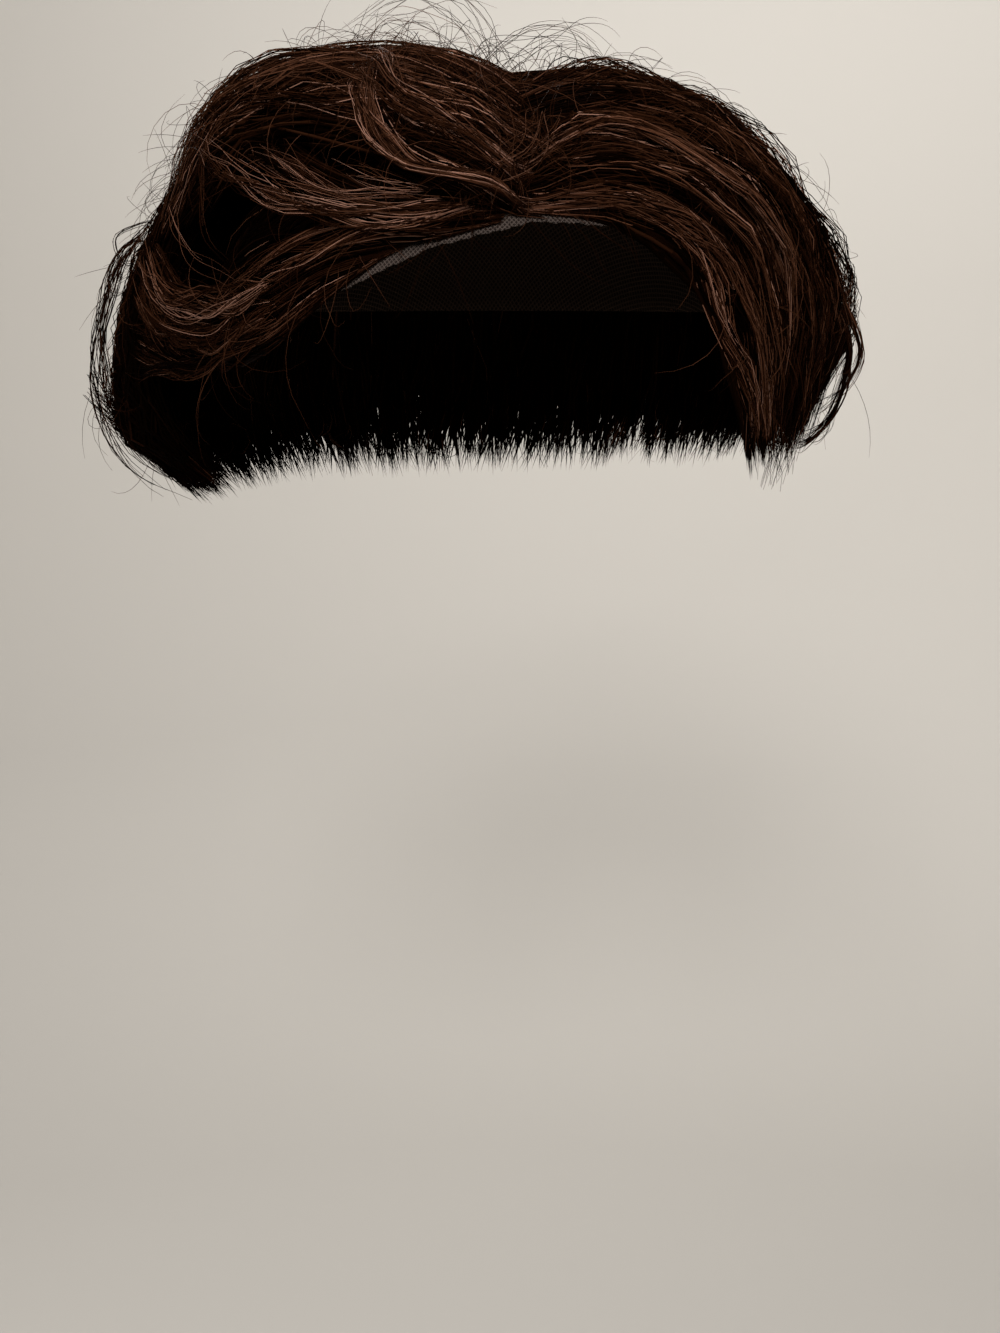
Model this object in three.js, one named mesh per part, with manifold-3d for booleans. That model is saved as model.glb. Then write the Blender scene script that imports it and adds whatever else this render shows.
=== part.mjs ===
// A short, wavy, dark brown hair topper: a net base shaped to the top of the head, a fine lace edge
// along the forehead, and sections of hair that leave a parting and sweep round to both sides.
// Millimetres, +Z up. The origin is where the inside of the base rests on the crown of the head, and
// the forehead is towards -Y. Left and right are as seen from the front, so left is -X.
import * as THREE from 'three';
import { mergeVertices } from 'three/addons/utils/BufferGeometryUtils.js';
import Module from 'manifold-3d';

const wasm = await Module();
wasm.setup();

// Driving dimensions
const HEAD_HALF_WIDTH = 72.5;
const HEAD_HALF_DEPTH = 95;
const CROWN_HEIGHT = 78; // from the widest level of the head up to the crown
const BASE_WALL = 1.2;
const LACE_WALL = 1.0;
const PIECE_GAP = 0.35;
const SECTION_GAP = 0.6; // between one section of hair and the next
const HAIR_SEAT = BASE_WALL + 2 * PIECE_GAP; // the lowest that hair lies over the head
const LOCK_RIDGE = 1.8; // how far the middle of a lock stands above the grooves beside it
const GROOVE_THINNING = 0.25; // share of its depth that hair loses in a groove
const LEAST_DEPTH = 1.6;
const TIP_LENGTH = 1.1; // how far a lock's tip runs past the grooves beside it, as a share of its width
const TIP_SHORTFALLS = [0, 0.6, 0.2, 0.8, 0.35]; // shares of that by which locks in turn end early
const TIP_ONSET = 5; // how late along a lock the tips part, as a power of the share along it

// How finely the solids are divided
const ROWS_ALONG = 9;
const STEPS_ROUND = 40;
const STEP_TURN = 360 / STEPS_ROUND;
const BASE_RINGS = 6;
const CROWN_FALL = 3; // degrees from the crown to the smallest ring of a dome
const ROOM_FALL = 140; // degrees from the crown to below the longest hair
const ROOM_RINGS = 12;
const NEARBY = 0.02; // the step across or along a sheet that gives its direction

// How deep a lock is from its root to its tip, as a share of its full depth.
const LOCK_PROFILE = [
  { along: 0.0, depth: 0.6 },
  { along: 0.25, depth: 1.0 },
  { along: 0.7, depth: 0.85 },
  { along: 0.9, depth: 0.55 },
  { along: 1.0, depth: 0.2 },
];

// The columns that every lock has across it, as shares of its width, and how deep in a groove each lies.
const LOCK_COLUMNS = [
  { across: 0, groove: 1 },
  { across: 0.3, groove: 0.1 },
  { across: 0.7, groove: 0.1 },
];

// The edge of the topper by the turn round the head from the middle of the forehead: its fall from the
// crown and how much of that is lace, in degrees. The left of the forehead is a little lower.
const EDGE = [
  { turn: -180, fall: 80, lace: 0 },
  { turn: -92, fall: 80, lace: 0 },
  { turn: -62, fall: 81, lace: 0 },
  { turn: -36, fall: 76, lace: 7 },
  { turn: -14, fall: 67, lace: 7 },
  { turn: 8, fall: 62, lace: 7 },
  { turn: 30, fall: 63, lace: 6 },
  { turn: 48, fall: 71, lace: 4 },
  { turn: 66, fall: 79, lace: 0 },
  { turn: 92, fall: 80, lace: 0 },
  { turn: 180, fall: 80, lace: 0 },
];
const LEAST_LACE = 1.5; // degrees, where the strip of lace begins and ends

// The hair. Each fan of locks lies between its guides, which are listed anticlockwise round the head as
// seen from above. A guide says where the hair is rooted, rises, crests, bends, drops and ends, each as
// [turn, fall, lift]: degrees, degrees, and millimetres off the head.
const FANS = {
  right_sweep: {
    locks: 5,
    depth: 9,
    guides: [
      {
        root: [9, 60.5, 2], rise: [24, 62, 6], crest: [38, 68, 6],
        bend: [47, 77, 5], drop: [57, 92, 3.5], tip: [66, 112, 3],
      },
      {
        root: [7, 55, 3], rise: [20, 54, 12], crest: [37, 58, 15],
        bend: [54, 67, 13], drop: [69, 82, 9], tip: [78, 110, 6],
      },
      {
        root: [6, 48, 4], rise: [18, 46, 14], crest: [36, 51, 18],
        bend: [57, 60, 17], drop: [74, 76, 14], tip: [81, 106, 6],
      },
    ],
  },
  right_side: {
    locks: 9,
    depth: 11,
    guides: [
      {
        root: [6, 47, 3], rise: [24, 45, 6], crest: [46, 51, 7],
        bend: [66, 62, 7], drop: [74, 81, 6], tip: [79, 112, 6],
      },
      {
        root: [6, 30, 3], rise: [40, 30, 9], crest: [68, 42, 15],
        bend: [82, 60, 21], drop: [92, 82, 25], tip: [96, 112, 14],
      },
      {
        root: [10, 20, 3], rise: [66, 26, 9], crest: [79, 46, 17],
        bend: [88, 64, 25], drop: [98, 86, 32], tip: [103, 112, 17],
      },
      {
        root: [140, 6, 3], rise: [96, 26, 11], crest: [98, 46, 19],
        bend: [105, 66, 26], drop: [112, 87, 30], tip: [117, 112, 18],
      },
      {
        root: [155, 14, 3], rise: [118, 34, 14], crest: [119, 54, 21],
        bend: [122, 74, 26], drop: [127, 95, 27], tip: [130, 115, 17],
      },
    ],
  },
  back: {
    locks: 9,
    depth: 11,
    guides: [
      {
        root: [152, 15, 3], rise: [116, 35, 13], crest: [117, 55, 20],
        bend: [120, 75, 25], drop: [125, 96, 26], tip: [128, 115, 16],
      },
      {
        root: [165, 15, 3], rise: [145, 40, 16], crest: [147, 60, 22],
        bend: [150, 80, 25], drop: [154, 101, 24], tip: [156, 118, 14],
      },
      {
        root: [185, 16, 3], rise: [175, 42, 16], crest: [176, 62, 22],
        bend: [177, 82, 25], drop: [180, 102, 24], tip: [182, 120, 14],
      },
      {
        root: [205, 15, 3], rise: [204, 42, 17], crest: [203, 62, 23],
        bend: [203, 82, 27], drop: [205, 103, 27], tip: [206, 120, 15],
      },
      {
        root: [228, 14, 3], rise: [232, 40, 18], crest: [231, 60, 26],
        bend: [230, 80, 32], drop: [230, 102, 34], tip: [229, 120, 20],
      },
    ],
  },
  left_side: {
    locks: 7,
    depth: 11,
    guides: [
      {
        root: [-130, 16, 3], rise: [-131, 42, 17], crest: [-131, 62, 26],
        bend: [-132, 80, 32], drop: [-132, 102, 34], tip: [-133, 120, 21],
      },
      {
        root: [-104, 30, 3], rise: [-100, 54, 28], crest: [-101, 72, 38],
        bend: [-105, 89, 49], drop: [-109, 106, 52], tip: [-113, 122, 29],
      },
      {
        root: [-82, 42, 3], rise: [-84, 56, 27], crest: [-91, 74, 34],
        bend: [-98, 91, 40], drop: [-103, 107, 36], tip: [-105, 119, 15],
      },
    ],
  },
  left_crest: {
    locks: 8,
    depth: 12,
    guides: [
      {
        root: [-160, 8, 4], rise: [-108, 22, 12], crest: [-103, 36, 20],
        bend: [-104, 50, 28], drop: [-107, 64, 31], tip: [-111, 80, 33],
      },
      {
        root: [3, 26, 4], rise: [-38, 19, 9], crest: [-62, 28, 17],
        bend: [-75, 41, 28], drop: [-84, 54, 32], tip: [-95, 73, 34],
      },
      {
        root: [5, 44, 4], rise: [-15, 43, 13], crest: [-35, 42, 20],
        bend: [-56, 44, 26], drop: [-74, 53, 30], tip: [-90, 72, 32],
      },
      {
        root: [4, 59, 4], rise: [-6, 56, 11], crest: [-17, 56, 18],
        bend: [-35, 51.5, 22], drop: [-58, 53, 25], tip: [-82, 68, 26],
      },
    ],
  },
  crest_curl: {
    locks: 2,
    depth: 8,
    guides: [
      {
        root: [4, 31, 4], rise: [-12, 35, 14], crest: [-26, 36, 18],
        bend: [-37, 34, 18], drop: [-48, 31, 16], tip: [-62, 27, 12],
      },
      {
        root: [5, 47, 4], rise: [-6, 48, 17], crest: [-18, 47, 22],
        bend: [-28, 41, 21], drop: [-42, 34, 18], tip: [-64, 27, 13],
      },
      {
        root: [6, 60.5, 3], rise: [-7, 60, 19], crest: [-17, 58.5, 24],
        bend: [-27, 48, 21], drop: [-42, 36, 17], tip: [-66, 27, 12],
      },
    ],
  },
  brow_sweep: {
    locks: 2,
    depth: 8,
    guides: [
      {
        root: [0, 58.5, 3], rise: [-10, 61, 11], crest: [-20, 62, 14],
        bend: [-32, 59, 16], drop: [-45, 54, 18], tip: [-58, 50, 18],
      },
      {
        root: [-3, 63, 2], rise: [-14, 65.5, 8], crest: [-27, 66, 13],
        bend: [-39, 62.5, 18], drop: [-52, 57, 21], tip: [-66, 54, 21],
      },
    ],
  },
  temple_wave: {
    locks: 4,
    depth: 9,
    guides: [
      {
        root: [-10, 63, 2], rise: [-26, 65, 9], crest: [-44, 69, 11],
        bend: [-62, 76, 14], drop: [-78, 77, 24], tip: [-94, 71, 38],
      },
      {
        root: [-19, 66, 2], rise: [-34, 69.5, 8], crest: [-50, 77, 9],
        bend: [-67, 84, 12], drop: [-82, 85, 25], tip: [-97, 79, 41],
      },
      {
        root: [-27, 70.5, 2], rise: [-40, 78, 5], crest: [-54, 85.5, 6],
        bend: [-70, 89, 10], drop: [-85, 91, 23], tip: [-99, 91.5, 41],
      },
    ],
  },
  under_layer: {
    locks: 3,
    depth: 10,
    guides: [
      {
        root: [-2, 48, 3], rise: [-18, 46, 7], crest: [-36, 48, 8],
        bend: [-56, 52, 8], drop: [-74, 60, 9], tip: [-90, 72, 12],
      },
      {
        root: [-4, 58, 2], rise: [-20, 61, 5], crest: [-38, 66, 6],
        bend: [-56, 73, 6], drop: [-72, 80, 7], tip: [-88, 88, 10],
      },
    ],
  },
};

// Which fans make up each section of hair. A section is cut back where an earlier one already lies.
const SECTIONS = {
  hair_right_sweep: ['right_sweep'],
  hair_left_crest: ['left_crest', 'crest_curl'],
  hair_left_temple: ['brow_sweep', 'temple_wave', 'under_layer'],
  hair_right_side: ['right_side'],
  hair_left_side: ['left_side'],
  hair_back: ['back'],
};

const HAIR = new THREE.MeshStandardMaterial({ color: 0x2b1710, roughness: 0.45, metalness: 0 });
const NET = new THREE.MeshStandardMaterial({ color: 0x33241c, roughness: 0.9, metalness: 0 });
const LACE = new THREE.MeshStandardMaterial({ color: 0x7a675c, roughness: 0.85, metalness: 0 });

// A spot by the head: its way from the middle of the crown, the drop below the widest level, and the lift.
function spot([turn, fall, lift]) {
  const round = THREE.MathUtils.degToRad(turn);
  const down = THREE.MathUtils.degToRad(Math.min(fall, 90));
  const way = new THREE.Vector3(Math.sin(round), -Math.cos(round), 0)
    .multiplyScalar(Math.sin(down))
    .setZ(Math.cos(down));
  const drop = THREE.MathUtils.degToRad(Math.max(fall - 90, 0)) * CROWN_HEIGHT;
  return { way, drop, lift };
}

function between(from, to, share) {
  const way = from.way.clone().lerp(to.way, share).normalize();
  const drop = THREE.MathUtils.lerp(from.drop, to.drop, share);
  const lift = THREE.MathUtils.lerp(from.lift, to.lift, share);
  return { way, drop, lift };
}

// The spot a share of the way along a list of spots.
function spotAlong(spots, share) {
  const reach = share * (spots.length - 1);
  const first = Math.min(Math.floor(reach), spots.length - 2);
  return between(spots[first], spots[first + 1], reach - first);
}

const HEAD_SIZE = new THREE.Vector3(HEAD_HALF_WIDTH, HEAD_HALF_DEPTH, CROWN_HEIGHT);

function place({ way, drop, lift }) {
  const outward = way.clone().divide(HEAD_SIZE).normalize();
  const below = new THREE.Vector3(0, 0, CROWN_HEIGHT + drop);
  return way.clone().multiply(HEAD_SIZE).sub(below).addScaledVector(outward, lift);
}

// The direction away from the head at a point beside it.
function outwardAt(point) {
  const level = Math.max(point.z + CROWN_HEIGHT, 0);
  return new THREE.Vector3(point.x, point.y, level).divide(HEAD_SIZE).divide(HEAD_SIZE).normalize();
}

// A column of a table's rows at any value of its first column, straight from each row to the next.
function lookUp(rows, key, column, at) {
  const next = Math.max(1, rows.findIndex((row) => row[key] >= at));
  const [low, high] = [rows[next - 1], rows[next]];
  return THREE.MathUtils.mapLinear(at, low[key], high[key], low[column], high[column]);
}

// Closed geometry through rings of points that run anticlockwise about the way they advance.
function loft(rings) {
  const sides = rings[0].length;
  const last = (rings.length - 1) * sides;
  const index = [];
  for (let start = 0; start < last; start += sides) {
    for (let side = 0; side < sides; side++) {
      const here = start + side;
      const next = start + ((side + 1) % sides);
      index.push(here, next, next + sides, here, next + sides, here + sides);
    }
  }
  for (let side = 1; side + 1 < sides; side++) {
    index.push(0, side + 1, side, last, last + side, last + side + 1);
  }
  return new THREE.BufferGeometry().setFromPoints(rings.flat()).setIndex(index);
}

// Closed geometry between an outer and an inner grid of points. Rows run from root to tip, and the points
// of a row anticlockwise round the head.
function slab(outer, inner) {
  const rows = outer.length;
  const columns = outer[0].length;
  const at = (row, column) => row * columns + column;
  const under = rows * columns;
  const index = [];
  for (let row = 0; row + 1 < rows; row++) {
    for (let column = 0; column + 1 < columns; column++) {
      const [a, b] = [at(row, column), at(row, column + 1)];
      const [c, d] = [b + columns, a + columns];
      index.push(a, c, b, a, d, c);
      index.push(under + a, under + b, under + c, under + a, under + c, under + d);
    }
  }
  const rim = [];
  for (let column = 0; column + 1 < columns; column++) rim.push(at(0, column));
  for (let row = 0; row + 1 < rows; row++) rim.push(at(row, columns - 1));
  for (let column = columns - 1; column > 0; column--) rim.push(at(rows - 1, column));
  for (let row = rows - 1; row > 0; row--) rim.push(at(row, 0));
  rim.forEach((here, i) => {
    const next = rim[(i + 1) % rim.length];
    index.push(here, next, under + here, next, under + next, under + here);
  });
  return new THREE.BufferGeometry().setFromPoints([...outer.flat(), ...inner.flat()]).setIndex(index);
}

function solid(geometry) {
  const merged = mergeVertices(geometry);
  return new wasm.Manifold(new wasm.Mesh({
    numProp: 3,
    vertProperties: new Float32Array(merged.attributes.position.array),
    triVerts: new Uint32Array(merged.index.array),
  }));
}

function geometryOf(made) {
  const { vertProperties, triVerts } = made.getMesh();
  return new THREE.BufferGeometry()
    .setAttribute('position', new THREE.BufferAttribute(vertProperties, 3))
    .setIndex(new THREE.BufferAttribute(triVerts, 1));
}

// The largest body of a solid, without the slivers that cutting leaves.
function mainBody(made) {
  return made.decompose().reduce((best, body) => (body.volume() > best.volume() ? body : best));
}

// The spots of the guide that lies a share of the way across a fan, from root to tip.
function guideAcross(fan, share) {
  const columns = ['root', 'rise', 'crest', 'bend', 'drop', 'tip'];
  return columns.map((column) => spotAlong(fan.guides.map((guide) => spot(guide[column])), share));
}

function hairCurve(fan, share) {
  return new THREE.CatmullRomCurve3(guideAcross(fan, share).map(place), false, 'centripetal');
}

// A point of a fan's sheet of hair, a share of the way across it and along it.
function sheetPoint(fan, across, along) {
  return hairCurve(fan, across).getPoint(along);
}

// The direction in which a sheet leaves one of its edges or ends, or no direction inside it.
function sheetExit(fan, across, along, edge, end) {
  const within = sheetPoint(fan, across - edge * NEARBY, along - end * NEARBY);
  return sheetPoint(fan, across, along).sub(within).normalize();
}

// A fan as one closed sheet with a ridge for each lock and a tip of its own at each lock's end.
function hairSheet(fan, margin) {
  const lockWidth = sheetPoint(fan, 0, 1).distanceTo(sheetPoint(fan, 1, 1)) / fan.locks;
  const tipShare = (TIP_LENGTH * lockWidth) / hairCurve(fan, 0.5).getLength();
  const columns = [];
  for (let number = 0; number < fan.locks; number++) {
    for (const { across, groove } of LOCK_COLUMNS) {
      const early = TIP_SHORTFALLS[number % TIP_SHORTFALLS.length];
      columns.push({ across: (number + across) / fan.locks, groove, early, edge: 0 });
    }
  }
  columns[0].edge = -1;
  columns.push({ ...columns[0], across: 1, edge: 1 });
  const outer = [];
  const inner = [];
  for (let row = 0; row <= ROWS_ALONG; row++) {
    const end = row === 0 ? -1 : Number(row === ROWS_ALONG);
    const points = columns.map(({ across, groove, early, edge }) => {
      const share = row / ROWS_ALONG;
      const along = share - tipShare * Math.max(groove, early) * share ** TIP_ONSET;
      const taper = lookUp(LOCK_PROFILE, 'along', 'depth', share);
      const ridge = LOCK_RIDGE * taper;
      const fullDepth = fan.depth * taper * (1 - GROOVE_THINNING * groove);
      const depth = Math.max(fullDepth - ridge * groove, LEAST_DEPTH);
      const point = sheetPoint(fan, across, along);
      const out = outwardAt(point);
      const top = point.addScaledVector(sheetExit(fan, across, along, edge, end), margin)
        .addScaledVector(out, margin - ridge * groove);
      return [top, top.clone().addScaledVector(out, -depth - 2 * margin)];
    });
    outer.push(points.map(([top]) => top));
    inner.push(points.map(([, bottom]) => bottom));
  }
  return solid(slab(outer, inner));
}

function hairSection(fanNames, margin) {
  return fanNames.map((name) => hairSheet(FANS[name], margin)).reduce((whole, sheet) => whole.add(sheet));
}

// A ring round the head, clockwise from above, at the fall that each turn has.
function headRing(fallAt, lift) {
  return Array.from({ length: STEPS_ROUND }, (_, step) => {
    const turn = 180 - step * STEP_TURN;
    return place(spot([turn, fallAt(turn), lift]));
  });
}

// The room that the head, base and lace take up, which no hair reaches into.
function headRoom() {
  const rings = [];
  for (let ring = 0; ring <= ROOM_RINGS; ring++) {
    const fall = THREE.MathUtils.lerp(CROWN_FALL, ROOM_FALL, ring / ROOM_RINGS);
    rings.push(headRing(() => fall, HAIR_SEAT));
  }
  return solid(loft(rings));
}

function edgeFall(turn) {
  return lookUp(EDGE, 'turn', 'fall', turn);
}

function laceFall(turn) {
  return lookUp(EDGE, 'turn', 'lace', turn);
}

// The net base: a thin dome from the crown down to the lace, or to the edge where there is none.
function baseCap() {
  const rimFall = (turn) => edgeFall(turn) - laceFall(turn);
  const dome = (lift) => Array.from({ length: BASE_RINGS + 1 }, (_, ring) =>
    headRing((turn) => THREE.MathUtils.lerp(CROWN_FALL, rimFall(turn), ring / BASE_RINGS), lift));
  return loft([...dome(BASE_WALL), ...dome(0).reverse()]);
}

// The strip of lace along the forehead, from just below the base to the edge.
function frontLace() {
  const gapFall = THREE.MathUtils.radToDeg(PIECE_GAP / CROWN_HEIGHT);
  const rings = [];
  for (let turn = -180; turn < 180; turn += STEP_TURN) {
    if (laceFall(turn) < LEAST_LACE) continue;
    const low = edgeFall(turn);
    const high = low - laceFall(turn) + gapFall;
    const corners = [[turn, low, 0], [turn, high, 0], [turn, high, LACE_WALL], [turn, low, LACE_WALL]];
    rings.push(corners.map((corner) => place(spot(corner))));
  }
  return loft(rings);
}

const topper = new THREE.Group();

function addPiece(name, geometry, material) {
  const piece = new THREE.Mesh(geometry, material);
  piece.name = name;
  topper.add(piece);
}

addPiece('base_cap', baseCap(), NET);
addPiece('front_lace', frontLace(), LACE);

const taken = [headRoom()];
for (const [name, fanNames] of Object.entries(SECTIONS)) {
  const hair = taken.reduce((left, room) => left.subtract(room), hairSection(fanNames, 0));
  addPiece(name, geometryOf(mainBody(hair)), HAIR);
  taken.push(hairSection(fanNames, SECTION_GAP));
}

export default topper;
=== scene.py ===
# %% [markdown]
# A hair topper
#
# The topper is a hand-tied hairpiece. A net base rests on the top of the head, a sheer lace edge runs along
# the forehead, and several thousand dark brown hairs leave a parting and sweep round to both sides.
# The imported model holds the true shape as plain solids. This lesson loads them as a fixed frame, and then
# grows hair, net and lace in the same places. The box of the solids is kept, and sets how far flyaways may
# reach.

# %% Load the imported part
import math

import bpy
import numpy as np
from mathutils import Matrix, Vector


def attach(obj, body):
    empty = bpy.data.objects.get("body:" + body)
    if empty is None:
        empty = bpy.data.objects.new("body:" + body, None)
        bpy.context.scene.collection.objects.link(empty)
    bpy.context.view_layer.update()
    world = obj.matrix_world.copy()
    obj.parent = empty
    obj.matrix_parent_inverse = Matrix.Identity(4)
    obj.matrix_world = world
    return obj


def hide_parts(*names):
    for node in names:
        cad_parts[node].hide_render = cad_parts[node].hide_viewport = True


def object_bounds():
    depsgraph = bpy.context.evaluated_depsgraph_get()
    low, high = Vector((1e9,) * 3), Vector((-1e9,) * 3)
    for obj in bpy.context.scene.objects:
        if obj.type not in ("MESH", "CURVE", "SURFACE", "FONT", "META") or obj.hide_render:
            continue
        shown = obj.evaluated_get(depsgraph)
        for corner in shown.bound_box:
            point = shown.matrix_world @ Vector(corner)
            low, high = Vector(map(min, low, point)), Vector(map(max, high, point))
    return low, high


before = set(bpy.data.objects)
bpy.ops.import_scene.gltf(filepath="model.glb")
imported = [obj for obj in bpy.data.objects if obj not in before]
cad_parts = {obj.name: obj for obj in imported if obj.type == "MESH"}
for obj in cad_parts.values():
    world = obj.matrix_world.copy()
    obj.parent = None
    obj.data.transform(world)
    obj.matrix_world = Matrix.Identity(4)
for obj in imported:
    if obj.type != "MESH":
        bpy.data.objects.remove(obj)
cad_low, cad_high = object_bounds()
print("solids", sorted(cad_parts))
print("box in mm", [round(1000 * side) for side in cad_high - cad_low])

# %% [markdown]
# The form of the head
#
# Everything on the topper is laid out round the head that it fits: the top of an egg, and below its widest
# level straight walls. A place is given as a turn from the middle of the forehead and a fall from the
# crown, both in degrees, and a lift off the head in millimetres. Hair is easier to plan this way than in
# plain X, Y and Z, because a lock that lies on the head then keeps one lift all along. The arrays here are
# in millimetres and become metres only when a mesh is made.

# %% Places round the head
MM = 0.001
HEAD_HALF_WIDTH = 72.5
HEAD_HALF_DEPTH = 95.0
CROWN_HEIGHT = 78.0
HEAD_SIZE = np.array([HEAD_HALF_WIDTH, HEAD_HALF_DEPTH, CROWN_HEIGHT])
NO_LENGTH = 1e-9
LEAST_REACH = 0.1


def unit(vectors):
    """Vectors with their lengths made 1."""
    lengths = np.linalg.norm(vectors, axis=-1, keepdims=True)
    return vectors / np.maximum(lengths, NO_LENGTH)


def ways_and_drops(turn, fall):
    """Directions from the middle of the head, and how far below its widest level each place lies."""
    round_head = np.radians(turn)
    down = np.radians(np.minimum(fall, 90))
    ways = np.stack(
        [np.sin(round_head) * np.sin(down), -np.cos(round_head) * np.sin(down), np.cos(down)], axis=-1
    )
    return ways, np.radians(np.maximum(fall - 90, 0)) * CROWN_HEIGHT


def place(ways, drops, lifts):
    """Points in millimetres at those lifts off the head."""
    points = ways * HEAD_SIZE + unit(ways / HEAD_SIZE) * np.asarray(lifts)[..., None]
    points[..., 2] -= CROWN_HEIGHT + drops
    return points


def from_middle(points):
    """Points as seen from the middle of the head, or below it from the axis of its straight walls."""
    seen = points + [0, 0, CROWN_HEIGHT]
    seen[..., 2] = np.maximum(seen[..., 2], 0)
    return seen


def outward_at(points):
    """The direction away from the head at points beside it."""
    return unit(from_middle(points) / HEAD_SIZE**2)


def lift_of(points):
    """How far points lie above the head, near enough."""
    seen = from_middle(points)
    reach = np.linalg.norm(seen / HEAD_SIZE, axis=-1)
    return np.linalg.norm(seen, axis=-1) * (1 - 1 / np.maximum(reach, LEAST_REACH))


def keep_off_head(points, lift):
    """Moves points that lie lower than that lift out to it."""
    seen = from_middle(points)
    reach = np.linalg.norm(seen / (HEAD_SIZE + lift), axis=-1)
    moved = seen / np.clip(reach, LEAST_REACH, 1)[..., None]
    height = points[..., 2] + CROWN_HEIGHT
    moved[..., 2] = np.where(height > 0, moved[..., 2], height) - CROWN_HEIGHT
    return moved


print("crown at", place(*ways_and_drops(np.array(0.0), np.array(0.0)), np.array(0.0)).round(3))

# %% [markdown]
# The guides of the hair
#
# A hairdresser combs hair into fans: neighbouring hairs run almost the same way, and the way changes slowly
# across the fan. Each fan here has a few guide hairs, and every other hair is worked out between them. A
# guide names six places, from the root at the parting over the rise, crest, bend and drop to the tip, each
# as turn, fall and lift. They are the same guides that shape the solids, so the hair stays where they are.

# %% Guide hairs
HAIR_GUIDES = {
    "right_sweep": [
        [(9, 60.5, 2), (24, 62, 6), (38, 68, 6), (47, 77, 5), (57, 92, 3.5), (66, 112, 3)],
        [(7, 55, 3), (20, 54, 12), (37, 58, 15), (54, 67, 13), (69, 82, 9), (78, 110, 6)],
        [(6, 48, 4), (18, 46, 14), (36, 51, 18), (57, 60, 17), (74, 76, 14), (81, 106, 6)],
    ],
    "right_side": [
        [(6, 47, 3), (24, 45, 6), (46, 51, 7), (66, 62, 7), (74, 81, 6), (79, 112, 6)],
        [(6, 30, 3), (40, 30, 9), (68, 42, 15), (82, 60, 21), (92, 82, 25), (96, 112, 14)],
        [(10, 20, 3), (66, 26, 9), (79, 46, 17), (88, 64, 25), (98, 86, 32), (103, 112, 17)],
        [(140, 6, 3), (96, 26, 11), (98, 46, 19), (105, 66, 26), (112, 87, 30), (117, 112, 18)],
        [(155, 14, 3), (118, 34, 14), (119, 54, 21), (122, 74, 26), (127, 95, 27), (130, 115, 17)],
    ],
    "back": [
        [(152, 15, 3), (116, 35, 13), (117, 55, 20), (120, 75, 25), (125, 96, 26), (128, 115, 16)],
        [(165, 15, 3), (145, 40, 16), (147, 60, 22), (150, 80, 25), (154, 101, 24), (156, 118, 14)],
        [(185, 16, 3), (175, 42, 16), (176, 62, 22), (177, 82, 25), (180, 102, 24), (182, 120, 14)],
        [(205, 15, 3), (204, 42, 17), (203, 62, 23), (203, 82, 27), (205, 103, 27), (206, 120, 15)],
        [(228, 14, 3), (232, 40, 18), (231, 60, 26), (230, 80, 32), (230, 102, 34), (229, 120, 20)],
    ],
    "left_side": [
        [(-130, 16, 3), (-131, 42, 17), (-131, 62, 26), (-132, 80, 32), (-132, 102, 34), (-133, 120, 21)],
        [(-104, 30, 3), (-100, 54, 28), (-101, 72, 38), (-105, 89, 49), (-109, 106, 52), (-113, 122, 29)],
        [(-82, 42, 3), (-84, 56, 27), (-91, 74, 34), (-98, 91, 40), (-103, 107, 36), (-105, 119, 15)],
    ],
    "left_crest": [
        [(-160, 8, 4), (-108, 22, 12), (-103, 36, 20), (-104, 50, 28), (-107, 64, 31), (-111, 80, 33)],
        [(3, 26, 4), (-38, 19, 9), (-62, 28, 17), (-75, 41, 28), (-84, 54, 32), (-95, 73, 34)],
        [(5, 44, 4), (-15, 43, 13), (-35, 42, 20), (-56, 44, 26), (-74, 53, 30), (-90, 72, 32)],
        [(4, 59, 4), (-6, 56, 11), (-17, 56, 18), (-35, 51.5, 22), (-58, 53, 25), (-82, 68, 26)],
    ],
    "crest_curl": [
        [(4, 31, 4), (-12, 35, 14), (-26, 36, 18), (-37, 34, 18), (-48, 31, 16), (-62, 27, 12)],
        [(5, 47, 4), (-6, 48, 17), (-18, 47, 22), (-28, 41, 21), (-42, 34, 18), (-64, 27, 13)],
        [(6, 60.5, 3), (-7, 60, 19), (-17, 58.5, 24), (-27, 48, 21), (-42, 36, 17), (-66, 27, 12)],
    ],
    "brow_sweep": [
        [(0, 58.5, 3), (-10, 61, 11), (-20, 62, 14), (-32, 59, 16), (-45, 54, 18), (-58, 50, 18)],
        [(-3, 63, 2), (-14, 65.5, 8), (-27, 66, 13), (-39, 62.5, 18), (-52, 57, 21), (-66, 54, 21)],
    ],
    "temple_wave": [
        [(-10, 63, 2), (-26, 65, 9), (-44, 69, 11), (-62, 76, 14), (-78, 77, 24), (-94, 71, 38)],
        [(-19, 66, 2), (-34, 69.5, 8), (-50, 77, 9), (-67, 84, 12), (-82, 85, 25), (-97, 79, 41)],
        [(-27, 70.5, 2), (-40, 78, 5), (-54, 85.5, 6), (-70, 89, 10), (-85, 91, 23), (-99, 91.5, 41)],
    ],
    "under_layer": [
        [(-2, 48, 3), (-18, 46, 7), (-36, 48, 8), (-56, 52, 8), (-74, 60, 9), (-90, 72, 12)],
        [(-4, 58, 2), (-20, 61, 5), (-38, 66, 6), (-56, 73, 6), (-72, 80, 7), (-88, 88, 10)],
    ],
}
print("guides", sum(len(guides) for guides in HAIR_GUIDES.values()), "in", len(HAIR_GUIDES), "fans")

# %% [markdown]
# Between the guides
#
# A hair has no corners, so a smooth curve runs through the six places of a guide. Blender's own curves
# could do this one hair at a time. Written for arrays, one function gives any point of any hair at once:
# the six places are mixed between two neighbouring guides, and the curve then runs through the mixed
# places.

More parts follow.
